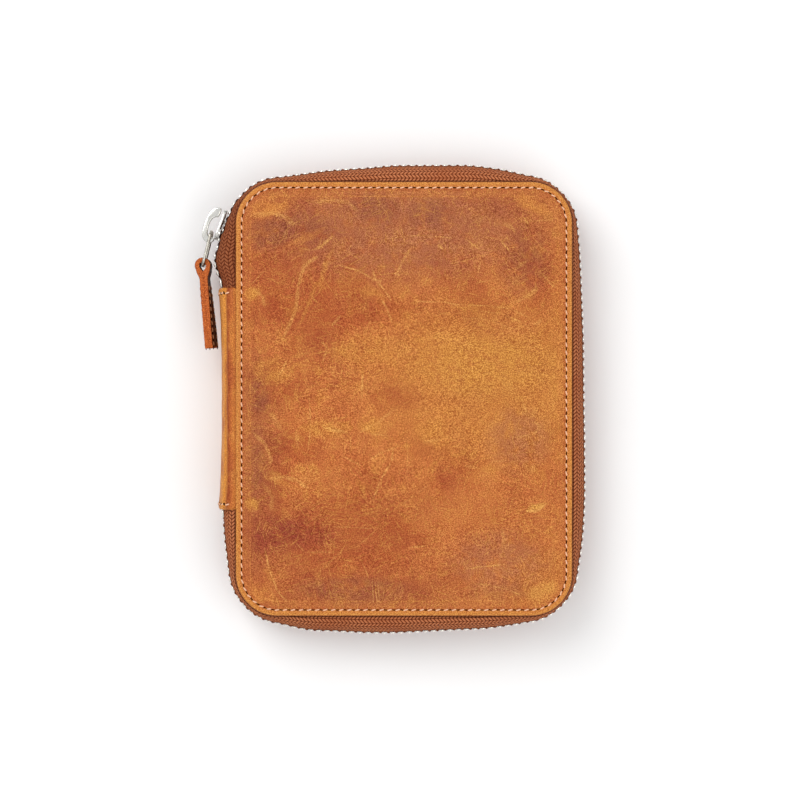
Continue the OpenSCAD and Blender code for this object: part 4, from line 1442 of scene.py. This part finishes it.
def tab_frame(points):
    """Twists tab points (u down it, v across its plies, w up) along its length."""
    u, v, w = points.T
    turn = TAB_TWIST * ease(np.clip(u / TAB_L, 0, 1) * 0.75 + 0.25 * (u > -9))
    top = TAB_W / 2
    turned_v = v * np.cos(turn) + (w - top * 0.5) * np.sin(turn)
    turned_w = w * np.cos(turn) - v * np.sin(turn)
    return np.column_stack([u, turned_v, turned_w])


def make_pull(leather, thread, hole):
    start, down, side, up = link_axes()
    pivot = start + down * LINK_L
    ahead = math.cos(TAB_LEAN) * down + math.sin(TAB_LEAN) * side
    across = -math.sin(TAB_LEAN) * down + math.cos(TAB_LEAN) * side
    outer, inner = tab_line(*TAB_OUTER), tab_line(*TAB_INNER)
    half_w, r = TAB_W / 2, 0.28
    section, cut = [], []
    wide, thin = np.linspace(-half_w + r, half_w - r, 15), np.linspace(-1, 0.72, 8)
    for line, value in (
        ([(1, w) for w in wide], 0.0),
        ([(0.92, half_w - 0.08)], 0.6),
        ([(t, half_w) for t in thin[::-1]], 1.0),
        ([(-1, w) for w in wide[::-1]], 0.0),
        ([(t, -half_w) for t in thin], 1.0),
        ([(0.92, -half_w + 0.08)], 0.6),
    ):
        section += line
        cut += [value] * len(line)
    section, cut = np.array(section), np.array(cut)
    share = (1 + section[None, :, 0:1]) / 2
    flat = inner[:, None, :] + share * (outer - inner)[:, None, :]
    rings = np.concatenate([flat, np.broadcast_to(section[None, :, 1:2], (*flat.shape[:2], 1))], 2)
    points, quads, caps = loft(rings)
    cut_values = np.tile(cut, len(outer))
    rough = wobble(points, 1.3, 5.0) * 0.06 * cut_values
    points[:, 2] += np.sign(points[:, 2]) * rough
    cut_values[: len(section)] = 1.0
    cut_values[-len(section):] = 1.0
    tab = build("leather_pull", placed((tab_frame(points), quads, caps), pivot, ahead, across, up), leather,
                "pull_leather", cut=cut_values)
    fixed(tab, "pull", "pull_tab")
    u = np.arange(TAB_NECK + 0.5, TAB_L - TAB_STITCH_INSET, TAB_STITCH_PITCH)
    for k, (face, level) in enumerate(((-1, -1), (-1, 1), (1, -1), (1, 1))):
        row = np.tile([0.0, face * (TAB_PLY - 0.02), level * (TAB_W / 2 - TAB_STITCH_INSET)], (len(u), 1))
        row[:, 0] = u
        points = placed_points(tab_frame(row), pivot, ahead, across, up)
        along = unit(np.gradient(points, axis=0))
        beside = unit(placed_points(tab_frame(row + [0, 0, 0.5]), pivot, ahead, across, up) - points)
        outwards = np.cross(along, beside)
        outwards *= np.sign((outwards @ across)[:, None]) * face
        sewn(f"pull_seam_{k}", points, along, outwards, thread, hole, riding("pull"))


# ---------------------------------------------------------------- inside of the covers

# Height of a plate's upper face at each inset from its edge
PLATE_PROFILE = np.array([
    [0.0, -0.32], [0.08, -0.14], [0.26, -0.03], [0.6, 0.0], [1.3, -0.01], [1.9, -0.08], [2.5, 0.0]
])
PENS, PEN_PITCH, LOOP_R, LOOP_LEG, FOOT_W = 6, 20.0, 8.5, 2.3, 3.0
ELASTIC_T, ELASTIC_RIB = 0.8, 1.3
BAND_STITCH_PITCH, BAND_STITCH_MARGIN, PANEL_STITCH_INSET = 2.6, 1.5, 1.9


def make_plate(name, node, side, radius, material, slot, wave, seed):
    """A lining or pen panel, built for the back and mirrored for the front."""
    (_, _, low), (half_w, half_l, high) = box_mm(f"back_{node}")
    rings = []
    for inset, level in ((8.0, 0.0), (0.25, 0.0), (0.04, 0.18)):
        rings.append(level_ring(plate_ring(half_w, half_l, radius, inset), low + level))
    for inset in np.concatenate([PLATE_PROFILE[:, 0], np.arange(3.6, half_w - 1, 1.8)]):
        ring = plate_ring(half_w, half_l, radius, inset)
        uneven = wave * wobble(level_ring(ring, 0.0), 9.0, seed) * min(inset / 3.0, 1.0)
        rings.append(level_ring(ring, high + np.interp(inset, *PLATE_PROFILE.T) + uneven))
    fixed(build(name, mirrored(loft(rings), side == "front"), material, slot), side, f"{side}_{node}")


def band_path():
    """The elastic's middle line in x and height over the panel: flat feet with an arch over each pen."""
    r = LOOP_R + ELASTIC_T / 2
    first = -(PENS - 1) / 2 * PEN_PITCH
    line = [(first - PEN_PITCH / 2 - FOOT_W, ELASTIC_T / 2)]
    for k in range(PENS):
        x = first + k * PEN_PITCH
        line += [(x - r - 0.5, ELASTIC_T / 2), (x - r, ELASTIC_T / 2 + 0.5)]
        angles = np.radians(np.arange(180, -1, -7.5))
        line += [(x + r * math.cos(a), LOOP_LEG + r * math.sin(a)) for a in angles]
        line += [(x + r, ELASTIC_T / 2 + 0.5), (x + r + 0.5, ELASTIC_T / 2)]
    line.append((-line[0][0], ELASTIC_T / 2))
    line = np.array(line)
    along = lengths_along(line)
    at = np.linspace(0, along[-1], int(along[-1] / 0.55))
    line = np.stack([np.interp(at, along, line[:, k]) for k in (0, 1)], 1)
    for _ in range(2):
        line[1:-1] = (line[:-2] + 2 * line[1:-1] + line[2:]) / 4
    return line, at


def make_band(side, row, material, thread):
    low, high = BAND_ROWS[row]
    path, along = band_path()
    tangent = unit(np.gradient(path, axis=0))
    normal = left_of(tangent)
    y0, y1 = low[1], high[1]
    across = np.linspace(0, y1 - y0, 54)
    inside = across[::-1][::3]
    rib = 0.12 * np.abs(np.sin(np.pi * across / ELASTIC_RIB)) - 0.08
    rounding = np.minimum(1, np.sqrt(np.clip(np.minimum(across, across[-1] - across) / 0.5, 0.03, 1)))
    offset = np.concatenate([(ELASTIC_T / 2 + rib) * rounding, np.full(len(inside), -ELASTIC_T / 2 + 0.04)])
    places = np.concatenate([across, inside])
    sag = 0.35 * np.sin(along / along[-1] * PENS * np.pi * 2 + 0.7)
    rings = []
    for k, (p, n) in enumerate(zip(path, normal)):
        droop = sag[k] * (places / places.max() - 0.5) * np.clip(p[1] / LOOP_R, 0, 1)
        x = p[0] + n[0] * offset + droop * 0.5
        z = low[2] + p[1] + n[1] * offset - np.abs(droop) * 0.4
        rings.append(np.column_stack([x, y0 + places, z]))
    cloth = np.stack([np.repeat(along, len(places)), np.tile(places, len(along))], 1)
    front = side == "front"
    band = build(f"{side}_{row}_elastic", mirrored(loft(rings), front), material, "elastic", cloth=cloth)
    fixed(band, side, f"{side}_{row}_band")
    run = y1 - y0 - 2 * BAND_STITCH_MARGIN
    count = int(run / BAND_STITCH_PITCH)
    ys = y0 + BAND_STITCH_MARGIN + (np.arange(count) + 0.5) * run / count
    xs = np.arange(PENS + 1) * PEN_PITCH - PENS / 2 * PEN_PITCH
    points = np.array([(x, y, low[2] + ELASTIC_T + 0.02) for x in xs for y in ys])
    ahead, up = np.tile([0.0, 1.0, 0.0], (len(points), 1)), np.tile([0.0, 0.0, 1.0], (len(points), 1))
    if front:
        points[:, 2] = CASE_T - points[:, 2]
        up = -up
    threads = seam(points, ahead, up, slant=math.radians(4))[0]
    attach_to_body(thread_piece(f"{side}_{row}_elastic", threads, len(points), thread), side)


def make_inside(suede, panel_leather, elastic, thread, dark_thread, hole):
    for side in ("back", "front"):
        front = side == "front"
        make_plate(f"{side}_suede_lining", "lining", side, CORNER_R - LINING_INSET, suede, "suede_lining",
                   0.05, 4.0 if front else 8.0)
        make_plate(f"{side}_pen_panel_leather", "pen_panel", side, PANEL_R, panel_leather, "panel_leather",
                   0.04, 14.0 if front else 18.0)
        up = -1.0 if front else 1.0
        rows = (
            ("lining", LINING_HIGH, CORNER_R - LINING_INSET, STITCH_INSET - LINING_INSET, thread),
            ("pen_panel", PANEL_HIGH, PANEL_R, PANEL_STITCH_INSET, dark_thread),
        )
        for name, high, radius, inset, yarn in rows:
            level = high[2] - 0.02
            line = outline_seam(high[0], high[1], radius, inset, CASE_T - level if front else level, up)
            sewn(f"{side}_{name}", *line, yarn, hole, riding(side))
        for row in BAND_ROWS:
            make_band(side, row, elastic, dark_thread)


# ---------------------------------------------------------------- the whole case


def make_case():
    thread = thread_material("pale_thread", rgb(255, 214, 178), rgb(218, 152, 112))
    dark_thread = thread_material("brown_thread", rgb(150, 104, 70), rgb(92, 56, 34))
    hole = hole_material()
    make_covers(thread, hole)
    pale_metal = rgb(234, 231, 225)
    make_zip(tape_material(), metal_material("polished_teeth", rgb(246, 242, 232), pale_metal, 0.16, 0.32))
    spine = spine_material()
    spine_suede = suede_material("spine_suede", (rgb(112, 78, 48), rgb(138, 100, 66), rgb(160, 122, 84)))
    make_spine(spine, spine_suede, thread, hole)
    make_slider(metal_material("polished_slider", rgb(222, 221, 216), rgb(212, 210, 204), 0.10, 0.24))
    make_link(metal_material("polished_link", rgb(188, 184, 174), rgb(166, 161, 150), 0.14, 0.28))
    pull_tones = (rgb(66, 26, 10), rgb(84, 38, 16), rgb(104, 50, 22))
    dull_thread = thread_material("dull_thread", rgb(196, 140, 96), rgb(140, 86, 54))
    make_pull(strip_material("pull_waxed_leather", pull_tones, 1, 9.0), dull_thread, hole)
    suede = suede_material("suede", (rgb(124, 88, 56), rgb(152, 112, 74), rgb(174, 134, 92)))
    panel = grain_material("panel_grain", (rgb(58, 32, 18), rgb(84, 48, 28), rgb(106, 64, 38)))
    make_inside(suede, panel, elastic_material(), thread, dark_thread, hole)
    board = board_material()
    for side in ("back", "front"):
        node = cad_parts[f"{side}_board"]
        node.data.materials.clear()
        node.data.materials.append(board)


make_stage()
make_case()
